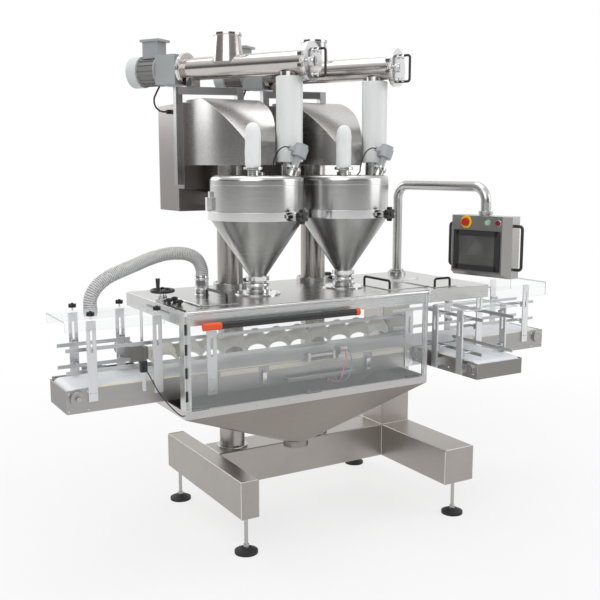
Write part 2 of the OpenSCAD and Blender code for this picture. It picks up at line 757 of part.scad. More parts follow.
// Roof lids: sheet cover with a locating lip, a hinge roll and a bow handle
module roof_lid(i, handle_x, handle_y, handle_len, along_y) {
    o = lid_open[i];
    color(steel) {
        difference() {
            union() {
                translate([o[0] - lid_lap, o[1] - lid_lap, roof_top + face_gap])
                    cube([o[2] + 2 * lid_lap, o[3] + 2 * lid_lap, sheet_t]);
                at_lid_hinge(i, 0) rod_y(7, lid_hinge(i)[2]);
            }
            at_lid_hinge(i, 1) rod_y(lid_pin_d + 2 * shaft_gap, lid_hinge(i)[2] + 2);
        }
        difference() {
            translate([o[0] + pass_gap, o[1] + pass_gap, roof_top - 10])
                cube([o[2] - 2 * pass_gap, o[3] - 2 * pass_gap, 11]);
            translate([o[0] + pass_gap + 2, o[1] + pass_gap + 2, roof_top - 11])
                cube([o[2] - 2 * pass_gap - 4, o[3] - 2 * pass_gap - 4, 13]);
        }
    }
    color(black) translate([handle_x, handle_y, roof_top + face_gap + sheet_t])
        rotate(along_y ? 90 : 0) bow_handle(handle_len, 38, 12);
}

module roof_lid_left() in_place() roof_lid(0, -690, -391, 206, true);
module roof_lid_middle() in_place() roof_lid(1, 196, -383, 215, true);
module roof_lid_right() in_place() roof_lid(2, 485, -541, 96, false);

// Cover in front of the conveyor with its bar handle and latch ears
cover_y = plate_front - face_gap - sheet_t;
cover_z = plate_bottom + 1;
latches = [[-467, 785], [118, 785]];
latch_pin_d = 5;

module conveyor_cover() in_place() color(steel) {
    translate([-700, cover_y, cover_z]) cube([1045, sheet_t, plate_top - 2 - cover_z]);
    for (x = [-361, 6]) translate([x, cover_y - 32, cover_z + 20]) cube([12, 32, 12]);
    translate([-361, cover_y - 44, cover_z + 18]) cube([379, 12, 16]);
    for (l = latches) translate([l[0], cover_y, l[1]]) {
        for (x = [-16, 12]) difference() {
            translate([x, -14, -6]) cube([4, 14, 14]);
            translate([x - 1, -8, 0]) rod_x(latch_pin_d, 6);
        }
        translate([-16, -8, 0]) rod_x(latch_pin_d, 32);
        translate([-10, -8, 60]) cube([20, 8, 8]);
    }
}

module cover_latch(i) in_place() color(steel) translate([latches[i][0], cover_y - 8, latches[i][1]]) {
    rotate([0, 90, 0]) translate([0, 0, -11]) pipe(10, latch_pin_d + 2 * shaft_gap, 22);
    difference() {
        translate([-11, -4, 3]) cube([22, 3, 52]);
        translate([-20, 0, 0]) rod_x(latch_pin_d + 2 * shaft_gap, 40);
    }
    translate([-11, -9, 50]) cube([22, 6, 3]);
}

module cover_latch_left() cover_latch(0);
module cover_latch_right() cover_latch(1);

// Hoppers
module hopper_shell() {
    difference() {
        union() {
            translate([0, 0, cone_top]) cylinder(r = hopper_r, h = hopper_top - cone_top);
            translate([0, 0, outlet_z]) cylinder(r1 = spout_d / 2 + 1, r2 = hopper_r, h = cone_top - outlet_z);
        }
        translate([0, 0, cone_top]) cylinder(r = hopper_r - hopper_wall, h = hopper_top - cone_top + 1);
        translate([0, 0, outlet_z]) cylinder(
            r1 = spout_d / 2 + 1 - hopper_wall, r2 = hopper_r - hopper_wall, h = cone_top - outlet_z);
        translate([0, 0, outlet_z - 1]) cylinder(r = spout_d / 2 + 1 - hopper_wall, h = 3);
    }
}

module hoppers() in_place() color(steel) for (x = heads) translate([x, spout_y, 0]) hopper_shell();

inlet_dx = 160;
inlet_dy = -26;
inlet_pipe_d = 84;
bag_dx = -85;
bag_dy = -125;
sensor_dx = 110;
sensor_dy = -128;

module lid_shell() {
    lid_h = 44;
    rotate_extrude() difference() {
        union() {
            square([hopper_r - 24, lid_h]);
            square([hopper_r, 20]);
            translate([hopper_r - 24, 20]) circle(24);
        }
        translate([-40, -1]) square([40, 80]);
        translate([0, -30]) square([hopper_r - hopper_wall, 46]);
        translate([-20, 0]) square([hopper_r - 8, lid_h - hopper_wall]);
    }
}

module hopper_lids() in_place() color(steel) for (x = heads) translate([x, spout_y, hopper_top]) {
    difference() {
        lid_shell();
        translate([0, 0, 20]) cylinder(d = auger_shaft_d + 2 * shaft_gap, h = 40);
        translate([inlet_dx, inlet_dy, 10]) cylinder(d = inlet_pipe_d - 6, h = 60);
        translate([bag_dx, bag_dy, 20]) cylinder(d = 44, h = 60);
    }
    translate([inlet_dx, inlet_dy, 36]) pipe(inlet_pipe_d, inlet_pipe_d - 6, 1872 - hopper_top - 36);
    translate([bag_dx, bag_dy, 43]) pipe(50, 44, 24);
    translate([sensor_dx, sensor_dy, 38]) rotate([0, 22, 0]) cylinder(d = 50, h = 30);
    translate([0, 0, 43]) pipe(70, auger_shaft_d + 2 * shaft_gap, 16);
}

module hopper_clamps() in_place() color(steel) for (x = heads) translate([x, spout_y, 0]) {
    translate([0, 0, ring_z - 20]) difference() {
        cylinder(r = hopper_r + 11, h = 40);
        translate([0, 0, -1]) cylinder(r = hopper_r, h = 42);
        translate([0, -spout_y, -1]) cylinder(d = column_d + 2 * pass_gap, h = 42);
    }
    rotate(-70) {
        translate([hopper_r + 8, -16, ring_z - 14]) cube([20, 32, 28]);
        translate([hopper_r + 8, -60, ring_z - 8]) cube([12, 44, 16]);
    }
    difference() {
        rotate(170) translate([hopper_r - 8, -16, ring_z + 24]) {
            cube([33, 32, 60]);
            translate([0, 4, 60]) cube([20, 24, 26]);
        }
        cylinder(r = hopper_r, h = hopper_top);
    }
    translate([0, 0, outlet_z - 24]) band_clamp(spout_d + 26, spout_d, 20, 30);
    translate([0, 0, roof_top + 8]) pipe(spout_d + 20, spout_d, 16);
    translate([0, 0, roof_top]) pipe(214, spout_d, 6);
}

module fill_spouts() in_place() color(steel) for (x = heads) translate([x, spout_y, spout_end])
    pipe(spout_d, spout_d - 6, outlet_z - spout_end);

// Helical flight with its core: a turned profile drawn up in a twist
module flighted_core(d, core, pitch, len, steps) {
    linear_extrude(len, twist = -360 * len / pitch, slices = ceil(len / pitch * steps), $fn = 8)
        union() {
            circle(d = core, $fn = 8);
            polygon([[0, -core * 0.2], [d / 2, -core * 0.14], [d / 2, core * 0.14], [0, core * 0.2]]);
        }
}

// Filling auger: belt pulley, shaft, stirring arms and flighted foot
module filling_auger(x) in_place() color(steel) translate([x, spout_y, 0]) {
    foot = 1360;
    translate([0, 0, foot]) cylinder(d = auger_shaft_d, h = 1860 - foot);
    translate([0, 0, spout_end + 6])
        flighted_core(spout_d - 14, auger_shaft_d - 6, 62, foot - spout_end - 6, 9);
    translate([0, 0, 1810]) cylinder(d = pulley_d, h = 34);
    for (a = [0, 180]) rotate(a) {
        translate([0, 0, 1600]) rod_x(14, 150);
        translate([150, 0, 1600]) sphere(d = 22);
        translate([0, 0, 1500]) rod_x(14, 120);
    }
}

module filling_auger_left() filling_auger(head_x);
module filling_auger_right() filling_auger(head2_x);

// Rear cabinet with its stepped front, door seam, feet and cable glands
module rear_cabinet() in_place() color(steel) {
    difference() {
        translate([cabinet_left, 0, 0]) rotate([90, 0, 90]) linear_extrude(cabinet_right - cabinet_left)
            polygon([
                [cabinet_front + 70, 1555], [cabinet_back, 1555], [cabinet_back, bonnet_top - 10],
                [cabinet_front, bonnet_top - 10], [cabinet_front, 1670], [cabinet_front + 70, 1670]
            ]);
        translate([cabinet_left + 30, cabinet_back - 2, 1580])
            cube([cabinet_right - cabinet_left - 60, 3, 2]);
        translate([cabinet_left + 30, cabinet_back - 2, bonnet_top - 42])
            cube([cabinet_right - cabinet_left - 60, 3, 2]);
    }
    translate([cabinet_left - 26, 303, 2052]) rod_x(22, 26);
    translate([head2_x - 251, 303, bonnet_top - 10]) cylinder(d = 22, h = 22);
}

// Drive bonnet: bowed sides in plan meet a falling front, as a sheet shell over a bottom plate
module bonnet_form(inset) {
    side_r = 500 - inset;
    bow_start = -61;
    half_w = bonnet_w / 2 - inset;
    fall_r = 560 - inset;
    fall_y = 116;
    fall_z = bonnet_top - 543;
    back = cabinet_front - face_gap - inset;
    intersection() {
        translate([0, 0, bonnet_z + inset]) linear_extrude(bonnet_top - bonnet_z - 2 * inset) union() {
            translate([-half_w, bow_start - 0.01]) square([2 * half_w, back - bow_start + 0.01]);
            intersection() {
                translate([-half_w, bonnet_front + inset])
                    square([2 * half_w, bow_start - bonnet_front - inset]);
                translate([half_w - side_r, bow_start]) circle(side_r, $fn = 96);
                translate([-half_w + side_r, bow_start]) circle(side_r, $fn = 96);
            }
        }
        translate([-half_w - 1, 0, 0]) rotate([90, 0, 90]) linear_extrude(2 * half_w + 2) union() {
            translate([-20, bonnet_z]) square([back + 20, bonnet_top - inset - bonnet_z]);
            intersection() {
                translate([bonnet_front + inset, bonnet_z])
                    square([-19 - bonnet_front - inset, bonnet_top - inset - bonnet_z]);
                translate([fall_y, fall_z]) circle(fall_r, $fn = 96);
            }
        }
    }
}

module drive_bonnets() in_place() color(steel) for (x = heads) translate([x, 0, 0]) difference() {
    bonnet_form(0);
    bonnet_form(sheet_t);
    translate([0, spout_y, bonnet_z - 1]) cylinder(d = 46, h = 6);
}

// Geared motor and belt wheel inside each bonnet
module auger_drives() in_place() color(dark_steel) for (x = heads) translate([x, 0, bonnet_z + sheet_t]) {
    translate([0, -20, 0]) {
        translate([-55, -55, 0]) cube([110, 110, 20]);
        translate([0, 0, 20]) cylinder(d = 20, h = 55);
        translate([0, 0, 22]) cylinder(d = pulley_d, h = 34);
        translate([0, 0, 75]) cylinder(d = 110, h = 180);
    }
    drive_belt();
}

module drive_belt() {
    translate([0, spout_y, 27]) rotate(90) linear_extrude(24) difference() {
        stadium(-20 - spout_y, pulley_d + 10);
        stadium(-20 - spout_y, pulley_d + 2 * face_gap);
    }
}

// Feeder frames of square tube
frame_tube = 35;
frame_z = 2130;
module tube_bar(a, b) {
    d = b - a;
    translate([a[0], a[1], 0]) rotate(atan2(d[1], d[0])) translate([0, -frame_tube / 2, frame_z])
        cube([norm(d), frame_tube, frame_tube]);
}

module feeder_frames() in_place() color(steel) for (dx = [0, head_pitch]) translate([dx, 0, 0]) {
    outer = [cabinet_left - frame_tube / 2, cabinet_front + frame_tube / 2];
    inner = [head_x + 100, 80];
    if (dx == 0) translate([outer[0] - frame_tube / 2, outer[1] - frame_tube / 2, 1690])
        cube([frame_tube, frame_tube, frame_z + frame_tube - 1690]);
    else translate([outer[0] - frame_tube / 2, outer[1] - frame_tube / 2, bonnet_top - 10])
        cube([frame_tube, frame_tube, frame_z + frame_tube - bonnet_top + 10]);
    translate([inner[0] - frame_tube / 2, inner[1] - frame_tube / 2, bonnet_top])
        cube([frame_tube, frame_tube, frame_z + frame_tube - bonnet_top]);
    tube_bar(outer, inner);
}

// Places children at a station along a feeder, looking along its axis
module on_feeder(dx, s) {
    translate([feeder_x + dx, feeder_y, feeder_z]) rotate(feeder_turn) translate([s, 0, 0]) children();
}

module feeder_tube() {
    difference() {
        union() {
            rod_x(feeder_d, feeder_len);
            rod_x(feeder_flange_d, 10);
            translate([feeder_len - 10, 0, 0]) rod_x(160, 10);
            translate([inlet_s, 0, 20]) cylinder(d1 = 150, d2 = 124, h = 128);
            translate([inlet_s, 0, 144]) cylinder(d = 136, h = 12);
            translate([drop_s, 0, -feeder_r - 46]) cylinder(d = 92, h = 60);
            translate([feeder_len - 56, -34, frame_z + frame_tube + face_gap - feeder_z]) cube([34, 68, 44]);
            cover_hinge_lugs();
        }
        translate([-1, 0, 0]) rod_x(feeder_bore, feeder_len - 12);
        translate([inlet_s, 0, 30]) cylinder(d1 = 100, d2 = 116, h = 140);
        translate([drop_s, 0, -feeder_r - 50]) cylinder(d = 86, h = 70);
        translate([feeder_len - 20, 0, 0]) rod_x(30 + 2 * shaft_gap, 30);
    }
}

module feeder_tubes() in_place() color(steel) for (dx = [0, head_pitch]) on_feeder(dx, 0) feeder_tube();

module feeder_screw(dx) in_place() color(steel) on_feeder(dx, 0) {
    translate([30, 0, 0]) rotate([0, 90, 0]) flighted_core(feeder_bore - 10, 30, 104, feeder_len - 60, 8);
    translate([feeder_len - 30, 0, 0]) rod_x(30, 80);
}

module feeder_screw_left() feeder_screw(0);
module feeder_screw_right() feeder_screw(head_pitch);

// Lugs and pin beside the front flange, on which the end cover swings
module cover_hinge_lugs() {
    for (z = [-33, 17]) translate([0, cover_hinge - 10, z]) {
        translate([-14, 0, 0]) cube([24, 18, 16]);
        translate([0, -16, 0]) cube([10, 18, 16]);
    }
    translate([-6 - face_gap, cover_hinge, -33]) cylinder(d = 8, h = 66);
}

// Flange, bell, gear case, finned motor, terminal box and fan cowl
module gearmotor() {
    case_s = 26;
    motor_s = case_s + 120;
    cowl_s = motor_s + 114;
    difference() {
        union() {
            translate([face_gap, 0, 0]) rod_x(160, 10);
            translate([10, 0, 0]) rod_x(128, 20);
            translate([case_s, -62, -72]) cube([120, 124, 144]);
        }
        translate([-1, 0, 0]) rod_x(30 + 2 * shaft_gap, 60);
    }
    translate([motor_s, 0, 0]) rod_x(150, 8);
    translate([motor_s + 6, 0, 0]) rod_x(130, 110);
    for (i = [0:15]) rotate([i * 22.5, 0, 0]) translate([motor_s + 10, 63, -1.5]) cube([100, 10, 3]);
    translate([cowl_s, 0, 0]) rod_x(154, 60);
    translate([cowl_s + 60, 0, 0]) rotate([0, 90, 0]) cylinder(d1 = 154, d2 = 132, h = 8);
    translate([motor_s + 4, -38, 60]) cube([90, 76, 82]);
    translate([motor_s - 14, -46, 142]) cube([118, 92, 12]);
}

module feeder_gearmotors() in_place() color("lightgray")
    for (dx = [0, head_pitch]) on_feeder(dx, feeder_len) gearmotor();

// End cover on a side hinge, with bow handle, swing bolts and knobs
cover_hinge = feeder_flange_d / 2 + 12;
module feeder_cover(dx) in_place() on_feeder(dx, 0) {
    color(steel) {
        translate([-12 - face_gap, 0, 0]) rod_x(feeder_flange_d, 12);
        difference() {
            translate([-12 - face_gap, 70, -16]) cube([12, cover_hinge - 66, 32]);
            translate([-6 - face_gap, cover_hinge, -20]) cylinder(d = 8 + 2 * shaft_gap, h = 40);
        }
        translate([-24 - face_gap, 0, 0]) rod_x(46, 12);
        for (a = [30, 150, 270]) rotate([a, 0, 0]) translate([-30 - face_gap, 0, 62]) {
            rod_x(10, 18);
            rod_x(22, 10);
        }
    }
    color(black) translate([-12 - face_gap, -44, 0]) rotate([0, -90, 0]) bow_handle(124, 42, 12);
}

module feeder_cover_left() feeder_cover(0);
module feeder_cover_right() feeder_cover(head_pitch);

sleeve_low = 1797;
sleeve_h = 393;
module drop_sleeves() in_place() color("#e6e9e8", 0.8) for (x = heads)
    translate([x + inlet_dx, spout_y + inlet_dy, sleeve_low]) difference() {
        cylinder(d = sleeve_d, h = sleeve_h);
        translate([0, 0, 3]) cylinder(d = sleeve_d - 6, h = sleeve_h - 6);
        translate([0, 0, -1]) cylinder(d = inlet_pipe_d + 2 * face_gap, h = 10);
        translate([0, 0, sleeve_h - 5]) cylinder(d = 92 + 2 * pass_gap, h = 20);
    }

module breather_bags() in_place() color("whitesmoke") for (x = heads)
    translate([x + bag_dx, spout_y + bag_dy, hopper_top + 67]) {
        cylinder(d = 66, h = 14);
        translate([0, 0, 14]) cylinder(d = 75, h = 160);
        translate([0, 0, 174]) sphere(d = 75);
    }

module level_sensors() in_place() color("lightgray") for (x = heads)
    translate([x + sensor_dx, spout_y + sensor_dy, hopper_top + 38]) rotate([0, 22, 0]) {
        translate([0, 0, 30]) band_clamp(64, 20, 14, 200);
        translate([0, 0, 34]) cylinder(d = 34, h = 66);
        translate([0, 0, 96]) cylinder(d = 72, h = 46);
        translate([0, 0, 142]) cylinder(d = 60, h = 14);
        translate([-60, 0, 118]) rod_x(24, 30);
    }

// Timing screw with round bottomed pockets cut along a helix
screw_sides = 22;
screw_steps = 9;
function pocket(phase) = sqrt(max(0, 1 - pow(2 * abs(phase - round(phase)) / 0.92, 2)));
function screw_radius(x, a) = let (p = x / screw_pitch - a / 360)
    screw_d / 2 - (screw_d - screw_root_d) / 2 * pocket(p);
screw_len = screw_right - screw_left;
screw_rings = ceil(screw_len / screw_pitch * screw_steps);

module screw_body() {
    pts = [for (i = [0:screw_rings], k = [0:screw_sides - 1])
        let (x = screw_len * i / screw_rings, a = 360 * k / screw_sides, r = screw_radius(x, a))
        [x, r * cos(a), r * sin(a)]];
    sides = [for (i = [0:screw_rings - 1], k = [0:screw_sides - 1])
        let (n = screw_sides, k2 = (k + 1) % n, a = i * n + k, b = i * n + k2) each
        [[a, a + n, b + n], [a, b + n, b]]];
    first_cap = [for (k = [0:screw_sides - 1]) k];
    last_cap = [for (k = [screw_sides - 1:-1:0]) screw_rings * screw_sides + k];
    polyhedron(pts, concat(sides, [first_cap, last_cap]), convexity = 12);
}

module timing_screw() in_place() {
    color(cream) translate([screw_left, screw_y, screw_z]) screw_body();
    color(steel) {
        translate([screw_left - 44, screw_y, screw_z]) rod_x(24, 44);
        translate([screw_right, screw_y, screw_z]) rod_x(24, 30);
    }
}

module screw_bearing(x) difference() {
    union() {
        translate([x, screw_y - 30, screw_z - 30]) cube([18, plate_back + 20 - screw_y + 30, 60]);
        translate([x, plate_back, plate_top - 40]) cube([18, 20, screw_z - plate_top + 40]);
    }
    translate([x - 1, screw_y, screw_z]) rod_x(24 + 2 * shaft_gap, 20);
}

// Bearing blocks of the timing screw and its small gear motor
module screw_supports() in_place() color(dark_steel) {
    screw_bearing(screw_left - 24);
    screw_bearing(screw_right + 6);
    difference() {
        translate([screw_left - 84, screw_y - 25, screw_z - 35]) cube([60, 90, 70]);
        translate([screw_left - 50, screw_y, screw_z]) rod_x(24 + 2 * shaft_gap, 30);
    }
    translate([screw_left - 54, screw_y + 65, screw_z]) rod_y(80, 110);
}

// Hand knobs: tunnel clamps, body ring clamps and column clamps
module clamp_knobs() in_place() color(black) {
    for (x = infeed_front_posts) translate([x, plate_front - post_t / 2, tunnel_top])
        lobed_knob(34, 16, 14);
    for (x = infeed_rear_posts) translate([x, plate_back + post_t / 2, tunnel_top])
        lobed_knob(34, 16, 14);
    for (x = heads) {
        translate([x, spout_y, ring_z]) rotate(-70) translate([hopper_r + 28, 0, 0])
            rotate([0, 90, 0]) lobed_knob(68, 20, 14);
        translate([x + column_d / 2 + 27, -12, roof_top + 13]) rotate([90, 0, 0]) {
            cylinder(d = 10, h = 30);
            translate([0, 0, 38]) sphere(d = 24);
        }
    }
}

// Air cylinder that works the stop rod of the lane
stop_x = -60;
stop_z = 905;
module stop_cylinder() in_place() color(steel) {
    difference() {
        translate([stop_x - 20, plate_front - 62, stop_z - 18]) cube([40, 54, 36]);
        translate([stop_x, plate_front - 50, stop_z]) rod_y(12 + 2 * shaft_gap, 50);
    }
    translate([-250, plate_front - 26, plate_top + 23]) rod_x(28, 155);
    for (x = [-250, -110]) translate([x, plate_front - 44, plate_top]) cube([14, 36, 42]);
    translate([-255, plate_front - 44, plate_top]) cube([225, 47, 4]);
    translate([stop_x - 20, plate_front - 44, plate_top + 3]) cube([40, 36, stop_z - 17 - plate_top]);
    translate([-116, plate_front, plate_bottom - 22]) cube([60, 20, 22]);
}

module stop_rod() in_place() color(dark_steel)
    translate([stop_x, plate_front - 48, stop_z]) rod_y(12, 66);

// Panel arm: post, bends and overhead tube with the swivel flange
module panel_arm() in_place() color(steel) translate([post_x, post_y, 0]) rotate(arm_angle) {
    bend = 75;
    head_z = panel_top + 6;
    foot_z = roof_top + post_base_h + face_gap;
    difference() {
        union() {
            translate([0, 0, foot_z]) cylinder(d = post_d, h = arm_z - bend - foot_z);
            translate([0, 0, foot_z]) cylinder(d = post_d + 22, h = 12);
        }
        translate([0, 0, foot_z - 1]) cylinder(d = post_spigot_d + 2 * shaft_gap, h = 84);
    }
    translate([bend, 0, arm_z - bend]) rotate([90, 0, 0]) rotate(90) rotate_extrude(angle = 90)
        translate([bend, 0]) circle(d = post_d);
    translate([bend, 0, arm_z]) rod_x(post_d, arm_reach - 2 * bend);
    translate([arm_reach - bend, 0, arm_z - bend]) rotate([90, 0, 0]) rotate_extrude(angle = 90)
        translate([bend, 0]) circle(d = post_d);
    translate([arm_reach, 0, 0]) difference() {
        union() {
            translate([0, 0, head_z]) cylinder(d = post_d, h = arm_z - bend - head_z);
            translate([0, 0, head_z]) cylinder(d = 70, h = 16);
        }
        translate([0, 0, head_z - 1]) cylinder(d = 30 + 2 * shaft_gap, h = 32);
    }
}

post_base_h = 16;
post_spigot_d = 36;
panel_top = 1540;
panel_bottom = panel_top - panel_h;
button_z = panel_top - 32;
buttons = [[-82, 30], [44, 22], [105, 22]];
bezel = [-159, 277, 196];
button_bore = 16;

// Panel box frame: X runs left to right across the face, the face looks along -Y
module at_panel() {
    translate([post_x + arm_reach * cos(arm_angle), arm_reach * sin(arm_angle), 0])
        rotate(arm_turn + panel_turn) children();
}

// Box body whose right and lower front edges slope back
module panel_shell(face) hull() {
    translate([-panel_w / 2, face + 22, panel_bottom]) cube([panel_w, panel_d - 22, panel_h]);
    translate([-panel_w / 2, face, panel_bottom + 20]) cube([panel_w - 42, 1, panel_h - 20]);
}

module panel_box() in_place() at_panel() {
    face = -panel_d / 2;
    color(steel) difference() {
        union() {
            panel_shell(face);
            translate([0, 0, panel_top]) cylinder(d = 60, h = 6 - face_gap);
            translate([0, 0, panel_top]) cylinder(d = 30, h = 34);
        }
        translate([bezel[0] - 1, face - 1, panel_bottom + 29]) cube([bezel[1] + 2, 4, bezel[2] + 2]);
        for (b = buttons) translate([b[0], face - 1, button_z]) rod_y(button_bore + 2 * shaft_gap, 40);
    }
    color(black) {
        translate([bezel[0], face + 0.5, panel_bottom + 30]) cube([bezel[1], 2.5, bezel[2]]);
        for (side = [-1, 1]) translate([side * panel_w / 2, 0, panel_bottom + panel_h / 2])
            rotate([0, side * 90, 0]) bow_handle(210, 42, 15);
    }
}

module push_button(i, cap_d, cap_h, travel) in_place() at_panel()
    translate([buttons[i][0], -panel_d / 2, button_z]) rotate([90, 0, 0]) {
        translate([0, 0, -30]) cylinder(d = button_bore, h = 30 + travel + 1);
        translate([0, 0, travel + face_gap]) cylinder(d = cap_d, h = cap_h);
    }

module emergency_stop() color("red") push_button(0, 36, 16, 4);
module start_button() color("green") push_button(1, 24, 6, 3);
module stop_button() color("red") push_button(2, 24, 6, 3);

// Handwheel with spokes and an upright crank grip
module handwheel() in_place() color(black) translate([wheel_place[0], wheel_place[1], 0]) {
    cylinder_top = roof_top + 70;
    translate([0, 0, roof_top - 30]) cylinder(d = 16, h = 96);
    translate([0, 0, roof_top + 28 + face_gap]) cylinder(d = 32, h = 22);
    translate([0, 0, roof_top + 50]) rotate_extrude() translate([47, 0]) circle(d = 16);
    for (a = [90, 210, 330]) rotate(a) translate([0, 0, roof_top + 46]) rod_x(10, 44);
    translate([-34, -34, roof_top + 50]) cylinder(d = 9, h = 12);
    translate([-34, -34, roof_top + 60]) cylinder(d1 = 15, d2 = 20, h = 50);
    translate([0, 0, cylinder_top - 20]) cylinder(d = 26, h = 6);
}

// Cords: a tube swept along hand chosen points, one ring at each point
function cord_dir(p, i) = let (n = len(p) - 1, d = i == 0 ? p[1] - p[0] : i == n ? p[n] - p[n - 1]
    : (p[i + 1] - p[i]) / norm(p[i + 1] - p[i]) + (p[i] - p[i - 1]) / norm(p[i] - p[i - 1])) d / norm(d);
function cord_side(d) = let (s = abs(d[2]) < 0.9 ? cross([0, 0, 1], d) : cross([0, 1, 0], d)) s / norm(s);

module cord(p, d, sides) {
    n = len(p) - 1;
    pts = [for (i = [0:n], k = [0:sides - 1]) let (t = cord_dir(p, i), u = side_at(p, i), v = cross(t, u))
        p[i] + d / 2 * (cos(360 * k / sides) * u + sin(360 * k / sides) * v)];
    walls = [for (i = [0:n - 1], k = [0:sides - 1])
        let (k2 = (k + 1) % sides, a = i * sides + k, b = i * sides + k2) each
        [[a, a + sides, b + sides], [a, b + sides, b]]];
    first_cap = [for (k = [0:sides - 1]) k];
    last_cap = [for (k = [sides - 1:-1:0]) n * sides + k];
    polyhedron(pts, concat(walls, [first_cap, last_cap]), convexity = 4);
}

// Side vector carried along the route so that the tube never twists
function side_at(p, i) = i == 0 ? cord_side(cord_dir(p, 0))
    : let (u = side_at(p, i - 1), t = cord_dir(p, i), w = u - (u * t) * t) w / norm(w);

hose_route = [
    [hose_stub[0], hose_stub[1], roof_top + 15], [hose_stub[0], hose_stub[1], 1250],
    [-673, -200, 1300], [-690, -200, 1345],
    [-725, -203, 1372], [-775, -208, 1386], [-850, -216, 1388], [-930, -228, 1374],
    [-1010, -242, 1350], [-1085, -258, 1328], [-1150, -272, 1305], [-1200, -283, 1272],
    [-1225, -289, 1240], [-1234, -290, 1212], [-1234, -290, tunnel_top + 25]
];
module dust_hose() in_place() color("gainsboro") cord(hose_route, hose_d, 12);

motor_cable_1 = [
    [-652, 321, 2177], [-668, 318, 2150], [-686, 312, 2115], [-684, 306, 2080],
    [-665, 303, 2058], [-645, 303, 2052], [-626, 303, 2052]
];
motor_cable_2 = [
    [-168, 321, 2177], [-176, 318, 2160], [-188, 310, 2140], [-195, 304, 2125], [-195, 303, 2112]
];
eye_cable = [
    [-1054, -437, 928], [-1054, -462, 922], [-1046, -500, 890], [-1030, -540, 840], [-1000, -575, 790],
    [-970, -590, 755], [-950, -590, 740], [-940, -590, 740]
];
module signal_cables() in_place() color(black) {
    cord(motor_cable_1, 9, 8);
    cord(motor_cable_2, 9, 8);
    cord(eye_cable, 5, 8);
}

air_tube_a = [
    [-70, -477, 905], [-70, -500, 908], [-76, -518, 895], [-86, -526, 860], [-98, -526, 820],
    [-104, -520, 785], [-104, -500, 762], [-102, -465, 752], [-100, -415, 752]
];
air_tube_b = [
    [-50, -477, 905], [-50, -498, 908], [-47, -514, 890], [-46, -522, 855], [-52, -524, 815],
    [-62, -516, 782], [-70, -498, 762], [-74, -465, 752], [-76, -415, 752]
];
module air_tubes() in_place() {
    color("#d8344f") cord(air_tube_a, 6, 8);
    color("#4f8fc8") cord(air_tube_b, 6, 8);
}

base_frame();
support_columns();
column_collars();
conveyor_frames();
conveyor_belts();
conveyor_gearmotor();
guide_posts();
guide_rails();
acrylic_tunnels();
guard_hood();
dust_tray();
door_catches();
hoppers();
hopper_lids();
hopper_clamps();
fill_spouts();
rear_cabinet();
drive_bonnets();
auger_drives();
feeder_frames();
feeder_tubes();
feeder_gearmotors();
drop_sleeves();
breather_bags();
level_sensors();
screw_supports();
clamp_knobs();
stop_cylinder();
dust_hose();
signal_cables();
air_tubes();
foot_front_left();
foot_front_right();
foot_rear_left();
foot_rear_right();
main_drive_roller();
main_tail_roller();
branch_drive_roller();
branch_tail_roller();
timing_screw();
handwheel();
front_door();
roof_lid_left();
roof_lid_middle();
roof_lid_right();
conveyor_cover();
cover_latch_left();
cover_latch_right();
filling_auger_left();
filling_auger_right();
feeder_screw_left();
feeder_screw_right();
feeder_cover_left();
feeder_cover_right();
stop_rod();
panel_arm();
panel_box();
emergency_stop();
start_button();
stop_button();
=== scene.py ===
import math
from itertools import product

import bmesh
import bpy
from mathutils import Matrix, Vector, noise


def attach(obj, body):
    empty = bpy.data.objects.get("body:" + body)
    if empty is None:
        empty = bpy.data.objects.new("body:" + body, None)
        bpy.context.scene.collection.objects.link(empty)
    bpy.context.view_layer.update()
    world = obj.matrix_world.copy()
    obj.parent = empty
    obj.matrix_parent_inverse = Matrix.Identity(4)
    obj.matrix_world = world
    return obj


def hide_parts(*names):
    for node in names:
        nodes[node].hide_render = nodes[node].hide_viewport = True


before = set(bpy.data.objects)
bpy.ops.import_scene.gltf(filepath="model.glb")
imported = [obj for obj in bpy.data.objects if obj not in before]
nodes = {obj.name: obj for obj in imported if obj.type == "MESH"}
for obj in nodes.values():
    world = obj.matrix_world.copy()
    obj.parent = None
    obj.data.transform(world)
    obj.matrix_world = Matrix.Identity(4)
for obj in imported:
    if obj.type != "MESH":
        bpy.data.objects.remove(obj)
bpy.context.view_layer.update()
scene = bpy.context.scene

# Machine frame: millimetres from the cross beam centre, as in the part's source
MACHINE = Vector((0.025, 0.201, 0.0))
HEADS = (-428, 56)
PITCH = HEADS[1] - HEADS[0]
SIDES = tuple(zip(("left", "right"), HEADS))
SPOUT_Y = -290
ROOF_TOP = 1185
HOPPER_TOP = 1694
LEFT, RIGHT, FRONT, BACK, UP = (-1, 0, 0), (1, 0, 0), (0, -1, 0), (0, 1, 0), (0, 0, 1)


def at(x, y, z):
    """A point of the machine frame, in metres in the row frame."""
    return MACHINE + Vector((x, y, z)) / 1000


# Camera, fitted to the straight edges of the machine
PHOTO_PX, FOCAL_PX, SENSOR = 600, 863.6, 36
CAMERA_AT = (-2325, -3861, 1769)
YAW, TILT = math.radians(30.812), math.radians(-8.654)
camera_data = bpy.data.cameras.new("camera")
camera_data.sensor_width = SENSOR
camera_data.lens = FOCAL_PX / PHOTO_PX * SENSOR
camera = bpy.data.objects.new("camera", camera_data)
scene.collection.objects.link(camera)
camera.location = at(*CAMERA_AT)
look = Vector((math.sin(YAW) * math.cos(TILT), math.cos(YAW) * math.cos(TILT), math.sin(TILT)))
camera.rotation_euler = look.to_track_quat("-Z", "Y").to_euler()
scene.camera = camera
scene.view_settings.view_transform = "Standard"


# Shader nodes
def feed(tree, socket, value):
    """Sets a socket to a number or a vector, or links it to another node's output."""
    if isinstance(value, bpy.types.NodeSocket):
        tree.links.new(value, socket)
    else:
        socket.default_value = value


